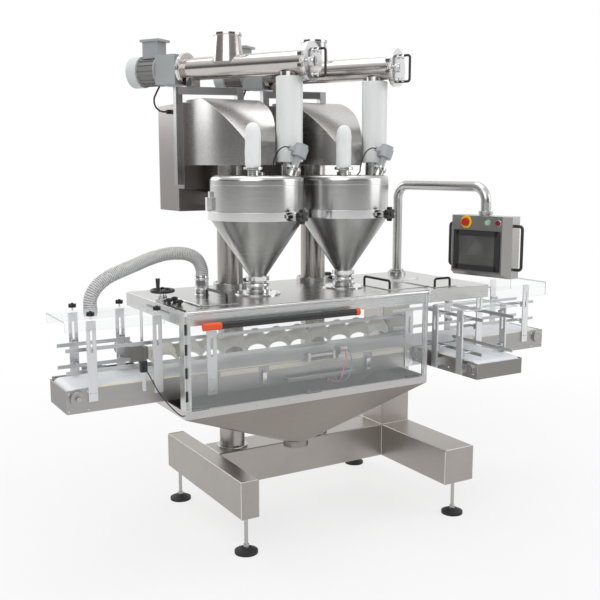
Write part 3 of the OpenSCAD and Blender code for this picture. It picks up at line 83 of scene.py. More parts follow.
def math_node(tree, operation, *values):
    made = tree.nodes.new("ShaderNodeMath")
    made.operation = operation
    for socket, value in zip(made.inputs, values):
        feed(tree, socket, value)
    return made.outputs[0]


def vector_node(tree, operation, *vectors):
    """A number from one or two vectors."""
    made = tree.nodes.new("ShaderNodeVectorMath")
    made.operation = operation
    for socket, vector in zip(made.inputs, vectors):
        feed(tree, socket, vector)
    return made.outputs["Value"]


def ramp_node(tree, value, low, high, to_low, to_high, smooth=False):
    """Turns the range low to high into the range to_low to to_high."""
    made = tree.nodes.new("ShaderNodeMapRange")
    if smooth:
        made.interpolation_type = "SMOOTHSTEP"
    for key, number in zip(("From Min", "From Max", "To Min", "To Max"), (low, high, to_low, to_high)):
        made.inputs[key].default_value = number
    tree.links.new(value, made.inputs["Value"])
    return made.outputs[0]


def mix_node(tree, share, a, b):
    """A number between a and b."""
    made = tree.nodes.new("ShaderNodeMix")
    for key, value in (("Factor", share), ("A", a), ("B", b)):
        feed(tree, made.inputs[key], value)
    return made.outputs[0]


def noise_node(tree, place, scale, detail):
    made = tree.nodes.new("ShaderNodeTexNoise")
    made.inputs["Scale"].default_value = scale
    made.inputs["Detail"].default_value = detail
    tree.links.new(place, made.inputs["Vector"])
    return made.outputs["Fac"]


# Materials
NOISE_LOW, NOISE_HIGH = 0.3, 0.7
FINE_SHARE, BROAD_SHARE = 0.45, 0.55
EDGE_RADIUS = 0.0025
# Colour of the painted highlight along edges
EDGE_HIGHLIGHT_COLOUR = (0.86, 0.86, 0.85, 1)


def shade(name, color, rough, metallic=0.0, grain=(260, 260, 260), grain_depth=0.0, cloud=3.0, vary=0.08,
          edge=0.0, **sockets):
    """A principled material whose colour and roughness vary at two scales.
    grain is the noise scale along X, Y and Z, edge lightens edges as a painted highlight."""
    m = bpy.data.materials.new(name)
    m.use_nodes = True
    tree = m.node_tree
    p = tree.nodes["Principled BSDF"]
    add, link = tree.nodes.new, tree.links.new
    place = add("ShaderNodeTexCoord").outputs["Object"]
    broad = noise_node(tree, place, cloud, 4)
    stretch = add("ShaderNodeMapping")
    stretch.inputs["Scale"].default_value = grain
    link(place, stretch.inputs["Vector"])
    fine = noise_node(tree, stretch.outputs["Vector"], 1, 3)
    both = math_node(tree, "MULTIPLY_ADD", fine, FINE_SHARE, math_node(tree, "MULTIPLY", broad, BROAD_SHARE))
    tint = add("ShaderNodeVectorMath")
    tint.operation = "SCALE"
    tint.inputs[0].default_value = color
    link(ramp_node(tree, both, NOISE_LOW, NOISE_HIGH, 1 - vary, 1 + vary), tint.inputs["Scale"])
    colour = tint.outputs[0]
    gloss = ramp_node(tree, both, NOISE_LOW, NOISE_HIGH,
                      max(0.02, rough * (1 - 2 * vary)), min(1, rough * (1 + 2 * vary)))
    # Painted highlight: edges found by the bevel are lightened towards a pale colour
    if edge:
        bevel = add("ShaderNodeBevel")
        bevel.samples = 4
        bevel.inputs["Radius"].default_value = EDGE_RADIUS
        flat = add("ShaderNodeNewGeometry").outputs["Normal"]
        bend = vector_node(tree, "DOT_PRODUCT", bevel.outputs[0], flat)
        edge_highlight = add("ShaderNodeMix")
        edge_highlight.data_type = "RGBA"
        edge_highlight.inputs["B"].default_value = EDGE_HIGHLIGHT_COLOUR
        link(ramp_node(tree, bend, 0.98, 0.86, 0.0, edge), edge_highlight.inputs["Factor"])
        link(colour, edge_highlight.inputs["A"])
        colour = edge_highlight.outputs["Result"]
    if grain_depth:
        bump = add("ShaderNodeBump")
        bump.inputs["Strength"].default_value = 0.5
        bump.inputs["Distance"].default_value = grain_depth
        link(fine, bump.inputs["Height"])
        if edge:
            link(bevel.outputs[0], bump.inputs["Normal"])
        link(bump.outputs[0], p.inputs["Normal"])
    link(colour, p.inputs["Base Color"])
    link(gloss, p.inputs["Roughness"])
    p.inputs["Metallic"].default_value = metallic
    for key, value in sockets.items():
        p.inputs[key.replace("_", " ")].default_value = value
    return m


ALONG_X, ALONG_Y, ALONG_Z, ROUND = (8, 520, 520), (520, 8, 520), (520, 520, 8), (9, 9, 700)


def steel(name, color, rough, grain, edge=0.55, vary=0.07, cloud=3.0):
    return shade(name, color, rough, metallic=1.0, grain=grain, grain_depth=0.00008, cloud=cloud, vary=vary,
                 edge=edge)


def even(name, color, rough, grain=500, grain_depth=0.0, **more):
    """A material with the same grain in every direction."""
    return shade(name, color, rough, grain=(grain, grain, grain), grain_depth=grain_depth, **more)


hood_steel = steel("hood_steel", (0.56, 0.56, 0.55), 0.26, ALONG_X)
beam_steel = steel("beam_steel", (0.40, 0.375, 0.35), 0.34, ALONG_Y, edge=0.8, vary=0.12, cloud=5)
column_steel = steel("column_steel", (0.38, 0.36, 0.34), 0.25, ALONG_Z, vary=0.12)
plate_steel = steel("plate_steel", (0.42, 0.41, 0.40), 0.38, ALONG_X)
end_steel = steel("end_steel", (0.27, 0.26, 0.25), 0.40, ALONG_Y)
tray_steel = steel("tray_steel", (0.52, 0.51, 0.50), 0.30, ALONG_X)
# The funnel's brownish, darker steel is a painted reflection
funnel_reflection_steel = steel("funnel_reflection_steel", (0.30, 0.27, 0.25), 0.32, ALONG_X, vary=0.1)
hopper_steel = steel("hopper_steel", (0.52, 0.52, 0.51), 0.22, ROUND, vary=0.09)
# The hopper cones are the hopper steel darkened as painted shade
shaded_cone_steel = steel("shaded_cone_steel", (0.36, 0.36, 0.35), 0.24, ROUND, vary=0.09)
bonnet_steel = steel("bonnet_steel", (0.44, 0.43, 0.42), 0.27, ALONG_Y, vary=0.08, cloud=4)
cabinet_steel = steel("cabinet_steel", (0.24, 0.22, 0.21), 0.34, ALONG_Z, vary=0.1)
tube_steel = steel("tube_steel", (0.54, 0.51, 0.49), 0.18, ALONG_X, vary=0.1)
bar_steel = steel("bar_steel", (0.30, 0.30, 0.30), 0.30, ALONG_Z)
post_steel = steel("post_steel", (0.78, 0.79, 0.80), 0.45, ALONG_Z)
rail_steel = steel("rail_steel", (0.54, 0.56, 0.57), 0.36, ALONG_X)
panel_steel = steel("panel_steel", (0.40, 0.39, 0.38), 0.32, ALONG_Z)
arm_steel = steel("arm_steel", (0.50, 0.50, 0.49), 0.24, ALONG_Z)
chrome = steel("chrome", (0.72, 0.72, 0.72), 0.16, (60, 60, 60), vary=0.05)
shaft_steel = steel("shaft_steel", (0.45, 0.44, 0.43), 0.25, ALONG_Z)
weld_metal = steel("weld_metal", (0.80, 0.79, 0.76), 0.35, (300, 300, 300), edge=0)
black_plastic = even("black_plastic", (0.017, 0.017, 0.018), 0.42, 700, 0.00005)
black_rubber = even("black_rubber", (0.020, 0.020, 0.021), 0.62, 400, 0.0001)
bezel_plastic = even("bezel_plastic", (0.030, 0.030, 0.032), 0.38, 900, 0.00003)
screen_glass = even("screen_glass", (0.085, 0.085, 0.083), 0.14, 260, vary=0.03, cloud=2, Coat_Weight=0.5,
                    Coat_Roughness=0.05)
orange_plastic = even("orange_plastic", (0.78, 0.085, 0.018), 0.38, 600, 0.00004)
cream_plastic = shade("cream_plastic", (0.93, 0.90, 0.80), 0.46, grain=(40, 500, 500), grain_depth=0.00006,
                      vary=0.05, Subsurface_Weight=0.08)
strip_plastic = even("strip_plastic", (0.78, 0.74, 0.62), 0.5, vary=0.05)
belt_cloth = even("belt_cloth", (0.80, 0.83, 0.86), 0.55, 900, 0.00012, vary=0.03)
enamel = even("enamel", (0.36, 0.38, 0.39), 0.42, 500, 0.00006, edge=0.2)
pale_enamel = even("pale_enamel", (0.62, 0.66, 0.66), 0.40, 500, 0.00006)
dark_enamel = even("dark_enamel", (0.085, 0.083, 0.085), 0.45, 500, 0.00006)
grey_enamel = even("grey_enamel", (0.24, 0.23, 0.22), 0.42, 500, 0.00006)
hose_plastic = even("hose_plastic", (0.60, 0.605, 0.60), 0.45, vary=0.05)
# The hose's grooves: the same plastic darkened as painted shade
hose_groove_shade = even("hose_groove_shade", (0.30, 0.30, 0.30), 0.55)
sleeve_plastic = shade("sleeve_plastic", (0.76, 0.78, 0.77), 0.36, grain=(200, 200, 12), grain_depth=0.0001,
                       vary=0.04)
bag_cloth = even("bag_cloth", (0.80, 0.81, 0.81), 0.72, 1400, 0.0002, vary=0.05, Sheen_Weight=0.2)
red_plastic = even("red_plastic", (0.55, 0.012, 0.015), 0.32)
dark_red_plastic = even("dark_red_plastic", (0.22, 0.012, 0.012), 0.32)
green_plastic = even("green_plastic", (0.32, 0.55, 0.42), 0.34)
yellow_plastic = even("yellow_plastic", (0.80, 0.52, 0.02), 0.36)
pink_tube = even("pink_tube", (0.78, 0.10, 0.17), 0.3, Coat_Weight=0.3)
blue_tube = even("blue_tube", (0.10, 0.30, 0.42), 0.3, Coat_Weight=0.3)
acrylic = even("acrylic", (0.88, 0.91, 0.92), 0.05, 30, vary=0.02, Alpha=0.11)
acrylic_edge = even("acrylic_edge", (0.62, 0.68, 0.68), 0.20, 200, vary=0.03, Alpha=0.85)


# Mesh tools
def piece(name, bm, material, body="machine", sharp=40):
    """A new object from a bmesh, riding on a CAD body. Edges above the angle sharp stay sharp."""
    bmesh.ops.recalc_face_normals(bm, faces=bm.faces)
    mesh = bpy.data.meshes.new(name)
    bm.to_mesh(mesh)
    bm.free()
    o = bpy.data.objects.new(name, mesh)
    scene.collection.objects.link(o)
    for m in material if isinstance(material, (list, tuple)) else [material]:
        mesh.materials.append(m)
    mesh.shade_smooth()
    mesh.set_sharp_from_angle(angle=math.radians(sharp))
    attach(o, body)
    return o


def smooth_line(points, step):
    """One smooth curve through the points, sampled about step apart."""
    p = [points[0] * 2 - points[1], *points, points[-1] * 2 - points[-2]]
    line = [points[0].copy()]
    for a, b, c, d in zip(p, p[1:], p[2:], p[3:]):
        n = max(1, round((c - b).length / step))
        for i in range(1, n + 1):
            t = i / n
            line.append(0.5 * (2 * b + (c - a) * t + (2 * a - 5 * b + 4 * c - d) * t * t
                               + (3 * b - a - 3 * c + d) * t ** 3))
    return line


def sweep(bm, line, radius, sides):
    """A closed tube along a line. radius is a function of the way along and the angle."""
    side, way, rings = None, 0.0, []
    for i, p in enumerate(line):
        t = (line[min(i + 1, len(line) - 1)] - line[max(i - 1, 0)]).normalized()
        if side is None:
            side = t.orthogonal().normalized()
        side = (side - side.dot(t) * t).normalized()
        other = t.cross(side)
        if i:
            way += (p - line[i - 1]).length
        ring = []
        for k in range(sides):
            a = 2 * math.pi * k / sides
            ring.append(bm.verts.new(p + radius(way, a) * (math.cos(a) * side + math.sin(a) * other)))
        rings.append(ring)
    for r0, r1 in zip(rings, rings[1:]):
        for k in range(sides):
            k2 = (k + 1) % sides
            bm.faces.new((r0[k], r0[k2], r1[k2], r1[k]))
    for ring in (rings[0], rings[-1]):
        bm.faces.new(ring)


def lathe(bm, profile, centre, axis=UP, sides=32, wave=None):
    """A turned form from (radius, height) pairs in millimetres, about an axis through centre."""
    turn = Vector(UP).rotation_difference(Vector(axis)).to_matrix().to_4x4()
    place = Matrix.Translation(centre) @ turn
    rings = []
    for r, z in profile:
        if r < 0.01:
            rings.append([bm.verts.new(place @ (Vector((0, 0, z)) / 1000))])
            continue
        ring = []
        for k in range(sides):
            a = 2 * math.pi * k / sides
            rr = r + (wave(a, z) if wave else 0)
            ring.append(bm.verts.new(place @ (Vector((rr * math.cos(a), rr * math.sin(a), z)) / 1000)))
        rings.append(ring)
    for r0, r1 in zip(rings, rings[1:]):
        if len(r0) == 1 and len(r1) == 1:
            continue
        for k in range(sides):
            k2 = (k + 1) % sides
            if len(r0) == 1:
                bm.faces.new((r0[0], r1[k2], r1[k]))
            elif len(r1) == 1:
                bm.faces.new((r0[k], r0[k2], r1[0]))
            else:
                bm.faces.new((r0[k], r0[k2], r1[k2], r1[k]))


def cube(bm, place, size, bevel, index=0, **shape):
    """A box with cut edges. place is a matrix, size is in metres and bevel in millimetres."""
    verts = bmesh.ops.create_cube(bm, size=1)["verts"]
    bmesh.ops.transform(bm, matrix=place @ Matrix.Diagonal((*size, 1)), verts=verts)
    for f in {f for v in verts for f in v.link_faces}:
        f.material_index = index
    edges = list({e for v in verts for e in v.link_edges})
    bmesh.ops.bevel(bm, geom=edges, offset=bevel / 1000, segments=2, affect="EDGES", material=index, **shape)


def block(bm, low, high, bevel, index=0):
    """A box with rounded edges between two corners of the machine frame, in millimetres."""
    a, b = at(*low), at(*high)
    cube(bm, Matrix.Translation((a + b) / 2), b - a, bevel, index, profile=0.7)


# Screw heads, in shares of their size across
SCREW_HEAD = ((0, 0.32), (0.24, 0.32), (0.27, 0.9), (0.36, 1.0), (0.46, 0.72), (0.5, 0.35), (0.5, -0.4),
              (0, -0.4))
HEX_HEAD = ((0, 1.0), (0.42, 1.0), (0.5, 0.85), (0.5, -0.3), (0, -0.3))


def screw(bm, centre, axis, d, hexagon=False):
    """A button head screw with its socket, or a hexagon head, seated at centre."""
    shape = HEX_HEAD if hexagon else SCREW_HEAD
    lathe(bm, [(r * d, z * d * 0.5) for r, z in shape], centre, axis, 6 if hexagon else 14)


# Cords
def cable(name, route, d, material, slot, replaces=True, step=0.006):
    """A round cable along a route of the machine frame."""
    line = smooth_line([at(*p) for p in route], step)
    curve = bpy.data.curves.new(name, "CURVE")
    curve.dimensions = "3D"
    curve.bevel_depth = d / 2000
    curve.bevel_resolution = 3
    curve.use_fill_caps = True
    spline = curve.splines.new("POLY")
    spline.points.add(len(line) - 1)
    for point, place in zip(spline.points, line):
        point.co = (*place, 1)
    curve.materials.append(material)
    o = bpy.data.objects.new(name, curve)
    scene.collection.objects.link(o)
    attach(o, "machine")
    if replaces:
        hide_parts(slot)


HOSE_ROUTE = [
    (-675, -200, 1200), (-675, -200, 1250), (-673, -200, 1300), (-690, -200, 1345), (-725, -203, 1372),
    (-775, -208, 1386), (-850, -216, 1388), (-930, -228, 1374), (-1010, -242, 1350), (-1085, -258, 1328),
    (-1150, -272, 1305), (-1200, -283, 1272), (-1225, -289, 1240), (-1234, -290, 1212), (-1234, -290, 1182)
]
HOSE_D = 60
HOSE_SIDES = 36
RIB_PITCH, RIB_DEPTH = 0.0085, 0.0032
GROOVE_R = 0.0284


def rib(s, a):
    """The hose's radius in metres, from one rib that winds round it."""
    phase = s / RIB_PITCH + a / (2 * math.pi)
    return HOSE_D / 2000 - RIB_DEPTH * (0.5 + 0.5 * math.cos(2 * math.pi * phase)) ** 2


hose_line = smooth_line([at(*p) for p in HOSE_ROUTE], 0.0017)
bm = bmesh.new()
sweep(bm, hose_line, rib, HOSE_SIDES)
bm.faces.ensure_lookup_table()
ways = [0.0]
for a, b in zip(hose_line, hose_line[1:]):
    ways.append(ways[-1] + (b - a).length)
# Faces in the grooves get the darker material, as painted shade
for ring, (near_end, far_end) in enumerate(zip(ways, ways[1:])):
    for k in range(HOSE_SIDES):
        if rib((near_end + far_end) / 2, 2 * math.pi * (k + 0.5) / HOSE_SIDES) < GROOVE_R:
            bm.faces[ring * HOSE_SIDES + k].material_index = 1
hose = piece("dust_hose_ribbed", bm, (hose_plastic, hose_groove_shade), sharp=80)
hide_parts("dust_hose")

MOTOR_CABLE_LEFT = [
    (-652, 321, 2177), (-668, 318, 2150), (-686, 312, 2115), (-684, 306, 2080), (-665, 303, 2058),
    (-645, 303, 2052), (-626, 303, 2052)
]
MOTOR_CABLE_RIGHT = [
    (-168, 321, 2177), (-176, 318, 2160), (-188, 310, 2140), (-195, 304, 2125), (-195, 303, 2112)
]
EYE_CABLE = [
    (-1054, -437, 928), (-1054, -462, 922), (-1046, -500, 890), (-1030, -540, 840), (-1000, -575, 790),
    (-970, -590, 755), (-950, -590, 740), (-940, -590, 740)
]
cable("motor_cable_left", MOTOR_CABLE_LEFT, 9, black_rubber, "signal_cables")
cable("motor_cable_right", MOTOR_CABLE_RIGHT, 9, black_rubber, "signal_cables")
cable("eye_cable", EYE_CABLE, 5, black_rubber, "signal_cables")

# A level sensor leans over, and its cable leaves from the side of its cap
LEAN = math.radians(22)
GLAND_SIDE, GLAND_UP = -62, 118
GLAND = Vector((GLAND_SIDE * math.cos(LEAN) + GLAND_UP * math.sin(LEAN), 0,
                -GLAND_SIDE * math.sin(LEAN) + GLAND_UP * math.cos(LEAN)))
SENSOR_CABLE = ((0, 0, 0), (-22, 1, 2), (-48, 6, -14), (-62, 18, -48), (-64, 34, -88), (-60, 52, -118))
for side, x in SIDES:
    gland = Vector((x + 110, SPOUT_Y - 128, HOPPER_TOP + 38)) + GLAND
    route = [gland + Vector(d) for d in SENSOR_CABLE] + [(x - 6, SPOUT_Y - 58, HOPPER_TOP + 16)]
    cable("sensor_cable_" + side, route, 6, black_rubber, "level_sensors", replaces=False)

PINK_ROUTE = [
    (-70, -477, 905), (-70, -500, 908), (-76, -518, 895), (-86, -526, 860), (-98, -526, 820),
    (-104, -520, 785), (-104, -500, 762), (-102, -465, 752), (-100, -415, 752)
]
BLUE_ROUTE = [
    (-50, -477, 905), (-50, -498, 908), (-47, -514, 890), (-46, -522, 855), (-52, -524, 815),
    (-62, -516, 782), (-70, -498, 762), (-74, -465, 752), (-76, -415, 752)
]
cable("air_tube_pink", PINK_ROUTE, 6, pink_tube, "air_tubes", step=0.004)
cable("air_tube_blue", BLUE_ROUTE, 6, blue_tube, "air_tubes", step=0.004)


# CAD nodes
FEEDER_AT, FEEDER_LEN = Vector((-212, -411, 2250)), 690
FEEDER_TURN = math.radians(120.7)
FEEDER_DIR = Vector((math.cos(FEEDER_TURN), math.sin(FEEDER_TURN), 0))
FEEDER_SIDE = Vector((-FEEDER_DIR.y, FEEDER_DIR.x, 0))


def feeder_place(p, dx):
    """How far along, across and above a feeder's axis a machine frame point is."""
    d = p - FEEDER_AT - Vector((dx, 0, 0))
    return d.dot(FEEDER_DIR), d.dot(FEEDER_SIDE), d.z


def paint(name, base, *rules):
    """A CAD node's materials: base, and another where a rule's test of a face's middle holds.
    The first rule that holds counts."""
    mesh = nodes[name].data
    mesh.materials.clear()
    for m in (base, *(m for m, test in rules)):
        mesh.materials.append(m)
    for face in mesh.polygons:
        middle = (face.center - MACHINE) * 1000
        face.material_index = next((i + 1 for i, (m, test) in enumerate(rules) if test(middle)), 0)


def near(p, x, y, r):
    return math.hypot(p.x - x, p.y - y) < r


# Where a node's material changes, in millimetres of the machine frame
CONVEYOR_ENDS, BRANCH_END = (-1381.9, 1331.9), -896.9
DOOR_PIN_Y, DOOR_PIN_Z, DOOR_PIN_R = -609, 1176, 9
DOOR_LUG_TOP, DOOR_LUG_Y = 1183, -600.5
DOOR_HANDLE_TOP, DOOR_HANDLE_ENDS = 1150, (-789, -110.5)
FUNNEL_LOW, FUNNEL_TOP = 454, 721
CONE_TOP = 1537
CABINET_LEFT, CABINET_TOP = -600.5, 2091
NECK_TOP = 1788
FOOT_PAD_TOP = 28.01
SCREW_BODY = (-950.5, 380.5)
KNOB_STUDS = ((-1274, -419), (-985, -419), (-1274, -161), (-1062, -161))
STUD_R, STUD_TOP = 5, 1171
WHEEL_HUB, WHEEL_HUB_TOP = (-910, -300, 17), 1240


def photo_eye(p):
    return -1069 < p.x < -1039 and p.y < -415 and p.z > 909


def outside(value, limits):
    return value < limits[0] or value > limits[1]


paint("base_frame", beam_steel)
paint("support_columns", column_steel)
paint("column_collars", arm_steel)
paint("conveyor_frames", plate_steel, (end_steel, lambda p: outside(p.x, CONVEYOR_ENDS) or p.y < BRANCH_END))
paint("conveyor_belts", belt_cloth)
paint("conveyor_gearmotor", dark_enamel)
paint("guide_posts", post_steel, (black_plastic, photo_eye))
paint("guide_rails", rail_steel)
paint("acrylic_tunnels", acrylic)
paint("guard_hood", hood_steel, (chrome, lambda p: p.z < DOOR_LUG_TOP and p.y < DOOR_LUG_Y))
# The tray's funnel gets the steel with the painted reflection
paint("dust_tray", tray_steel, (funnel_reflection_steel, lambda p: FUNNEL_LOW < p.z < FUNNEL_TOP))
paint("door_catches", black_plastic)
# Below the cone's top the hopper gets its darker copy, as painted shade
paint("hoppers", hopper_steel, (shaded_cone_steel, lambda p: p.z < CONE_TOP))
paint("hopper_lids", hopper_steel)
paint("hopper_clamps", chrome)
paint("fill_spouts", hopper_steel)
paint("rear_cabinet", cabinet_steel, (black_plastic, lambda p: p.x < CABINET_LEFT or p.z > CABINET_TOP))
paint("drive_bonnets", bonnet_steel)
paint("auger_drives", dark_enamel)
paint("feeder_frames", bar_steel)
paint("feeder_tubes", tube_steel)
paint("screw_supports", grey_enamel)
paint("stop_cylinder", tray_steel)
paint("stop_rod", shaft_steel)
paint("level_sensors", enamel, (chrome, lambda p: p.z < NECK_TOP))
for name in ("front_left", "front_right", "rear_left", "rear_right"):
    paint("foot_" + name, black_rubber, (shaft_steel, lambda p: p.z > FOOT_PAD_TOP))
for name in ("main_drive_roller", "main_tail_roller", "branch_drive_roller", "branch_tail_roller"):
    paint(name, shaft_steel)
paint("timing_screw", cream_plastic, (shaft_steel, lambda p: outside(p.x, SCREW_BODY)))
paint("conveyor_cover", plate_steel)
for side in ("left", "right"):
    paint("cover_latch_" + side, chrome)
    paint("filling_auger_" + side, shaft_steel)
    paint("feeder_screw_" + side, shaft_steel)

# Middle and half size of each lid handle in X and Y
LID_HANDLES = {"roof_lid_left": (-690, -391, 12, 130), "roof_lid_middle": (196, -383, 12, 130),
               "roof_lid_right": (485, -541, 75, 12)}


def lid_handle(name, p):
    x, y, half_x, half_y = LID_HANDLES[name]
    return p.z > 1188.5 and abs(p.x - x) < half_x and abs(p.y - y) < half_y


for name in LID_HANDLES:
    paint(name, hood_steel, (black_plastic, lambda p, n=name: lid_handle(n, p)))
paint("front_door", acrylic,
      (chrome, lambda p: math.hypot(p.y - DOOR_PIN_Y, p.z - DOOR_PIN_Z) < DOOR_PIN_R),
      (orange_plastic, lambda p: p.z < DOOR_HANDLE_TOP and p.y < -614 and outside(p.x, DOOR_HANDLE_ENDS)),
      (black_plastic, lambda p: p.z < DOOR_HANDLE_TOP and p.y < -613.4))

EDGE_WIDTH = 9


def edges_of(name, material):
    """Gives the narrow faces of a clear sheet their own material."""
    mesh = nodes[name].data
    mesh.materials.append(material)
    for face in mesh.polygons:
        if face.material_index == 0:
            points = [mesh.vertices[i].co * 1000 for i in face.vertices]
            spans = sorted(max(p[k] for p in points) - min(p[k] for p in points) for k in range(3))
            if spans[1] < EDGE_WIDTH:
                face.material_index = len(mesh.materials) - 1


edges_of("acrylic_tunnels", acrylic_edge)
edges_of("front_door", acrylic_edge)
paint("handwheel", black_plastic, (chrome, lambda p: near(p, *WHEEL_HUB) and p.z < WHEEL_HUB_TOP))
paint("clamp_knobs", black_plastic,
      (chrome, lambda p: p.z < STUD_TOP and any(near(p, x, y, STUD_R) for x, y in KNOB_STUDS)))
paint("panel_arm", arm_steel)
paint("emergency_stop", red_plastic)
paint("start_button", green_plastic)
paint("stop_button", dark_red_plastic)


def motor_place(p):
    """How far behind its feeder's flange and above its axis a point of a gear motor is."""
    along, across, up = feeder_place(p, 0 if p.x < -420 else PITCH)
    return along - FEEDER_LEN, up


def motor_part(low, high):
    def test(p):
        along, up = motor_place(p)
        return low < along < high and (up < 141 or low < 0)
    return test


def terminal_box(p):
    along, up = motor_place(p)
    return up > 82 and along > 100


# The terminal box comes first, so that it keeps the enamel where the motor's parts change
paint("feeder_gearmotors", enamel, (enamel, terminal_box),
      (grey_enamel, motor_part(153.5, 259)), (pale_enamel, motor_part(259, 400)), (chrome, motor_part(-5, 21)))

# The bow handle of a feeder cover, by the feeder's axis
GRIP_BACK, COVER_FRONT = -41, -12.6
GRIP_ACROSS, GRIP_UP, GRIP_R = -44, 62, 6.3
for side, dx in (("left", 0), ("right", PITCH)):
    def grip(p, dx=dx):
        along, across, up = feeder_place(p, dx)
        foot = math.hypot(across - GRIP_ACROSS, abs(up) - GRIP_UP) < GRIP_R
        return along < GRIP_BACK or (along < COVER_FRONT and foot)
    paint("feeder_cover_" + side, chrome, (black_plastic, grip))

# The panel arm's post, reach and turn, and the panel box's turn, width and face, all at rest
POST_X, ARM_REACH = 610, 661
ARM_TURN = math.radians(3.5 - 90)
PANEL_TURN = math.radians(3.5 - 81.4)
PANEL_W, FACE_BACK = 340, -42.5
PANEL_AT = Vector((POST_X + ARM_REACH * math.cos(ARM_TURN), ARM_REACH * math.sin(ARM_TURN), 0))
PANEL_RIGHT = Vector((math.cos(PANEL_TURN), math.sin(PANEL_TURN), 0))
PANEL_BACK = Vector((-PANEL_RIGHT.y, PANEL_RIGHT.x, 0))


def panel_place(p):
    d = p - PANEL_AT
    return d.dot(PANEL_RIGHT), d.dot(PANEL_BACK), p.z


def on_panel(right, back, z):
    p = PANEL_AT + PANEL_RIGHT * right + PANEL_BACK * back
    return at(p.x, p.y, z)


def panel_grip(p):
    return abs(panel_place(p)[0]) > PANEL_W / 2 + 0.6


# The bezel's middle and size, and the buttons, as seen on the panel's face
BEZEL_MID, BEZEL_Z = -20.5, 1368
BEZEL_W, BEZEL_H = 280, 200
STOP_AT, BUTTONS_AT, BUTTON_Z = -82, (44, 105), 1508


def panel_bezel(p):
    right, back, z = panel_place(p)
    return -42.2 < back < -39 and abs(right - BEZEL_MID) < BEZEL_W / 2 and abs(z - BEZEL_Z) < BEZEL_H / 2


paint("panel_box", panel_steel, (black_plastic, panel_grip), (bezel_plastic, panel_bezel))


# Screen, bezel frame and button rings
def panel_block(bm, right, back, z, size, bevel):
    place = Matrix.Translation(on_panel(right, back, z)) @ Matrix.Rotation(PANEL_TURN, 4, "Z")
    cube(bm, place, [v / 1000 for v in size], bevel)


def panel_ring(bm, right, profile, sides):
    lathe(bm, profile, on_panel(right, FACE_BACK, BUTTON_Z), -PANEL_BACK, sides)


bm = bmesh.new()
for right in (-142.5, 101.5):
    panel_block(bm, right, FACE_BACK - 0.7, BEZEL_Z, (33, 4, 196), 1.4)
for z in (1283, 1453):
    panel_block(bm, BEZEL_MID, FACE_BACK - 0.7, z, (250, 4, 26), 1.4)
piece("panel_bezel_frame", bm, bezel_plastic, "panel_box_body", sharp=60)
bm = bmesh.new()
panel_block(bm, BEZEL_MID, FACE_BACK + 0.3, BEZEL_Z, (216, 1.2, 150), 0.4)
piece("panel_screen", bm, screen_glass, "panel_box_body", sharp=60)

STOP_RING = [(18.6, 0), (30, 0), (31.5, 1), (31.5, 3), (29, 4.2), (19.4, 4.2), (18.6, 3.6), (18.6, 0)]
BUTTON_RING = [(12.4, 0), (14.8, 0), (15.2, 0.8), (15.2, 2.4), (14.6, 3), (12.8, 3), (12.4, 2.6), (12.4, 0)]
bm = bmesh.new()
panel_ring(bm, STOP_AT, STOP_RING, 40)
piece("stop_ring_yellow", bm, yellow_plastic, "panel_box_body")
bm = bmesh.new()
for right in BUTTONS_AT:
    panel_ring(bm, right, BUTTON_RING, 32)
piece("button_collars", bm, chrome, "panel_box_body")

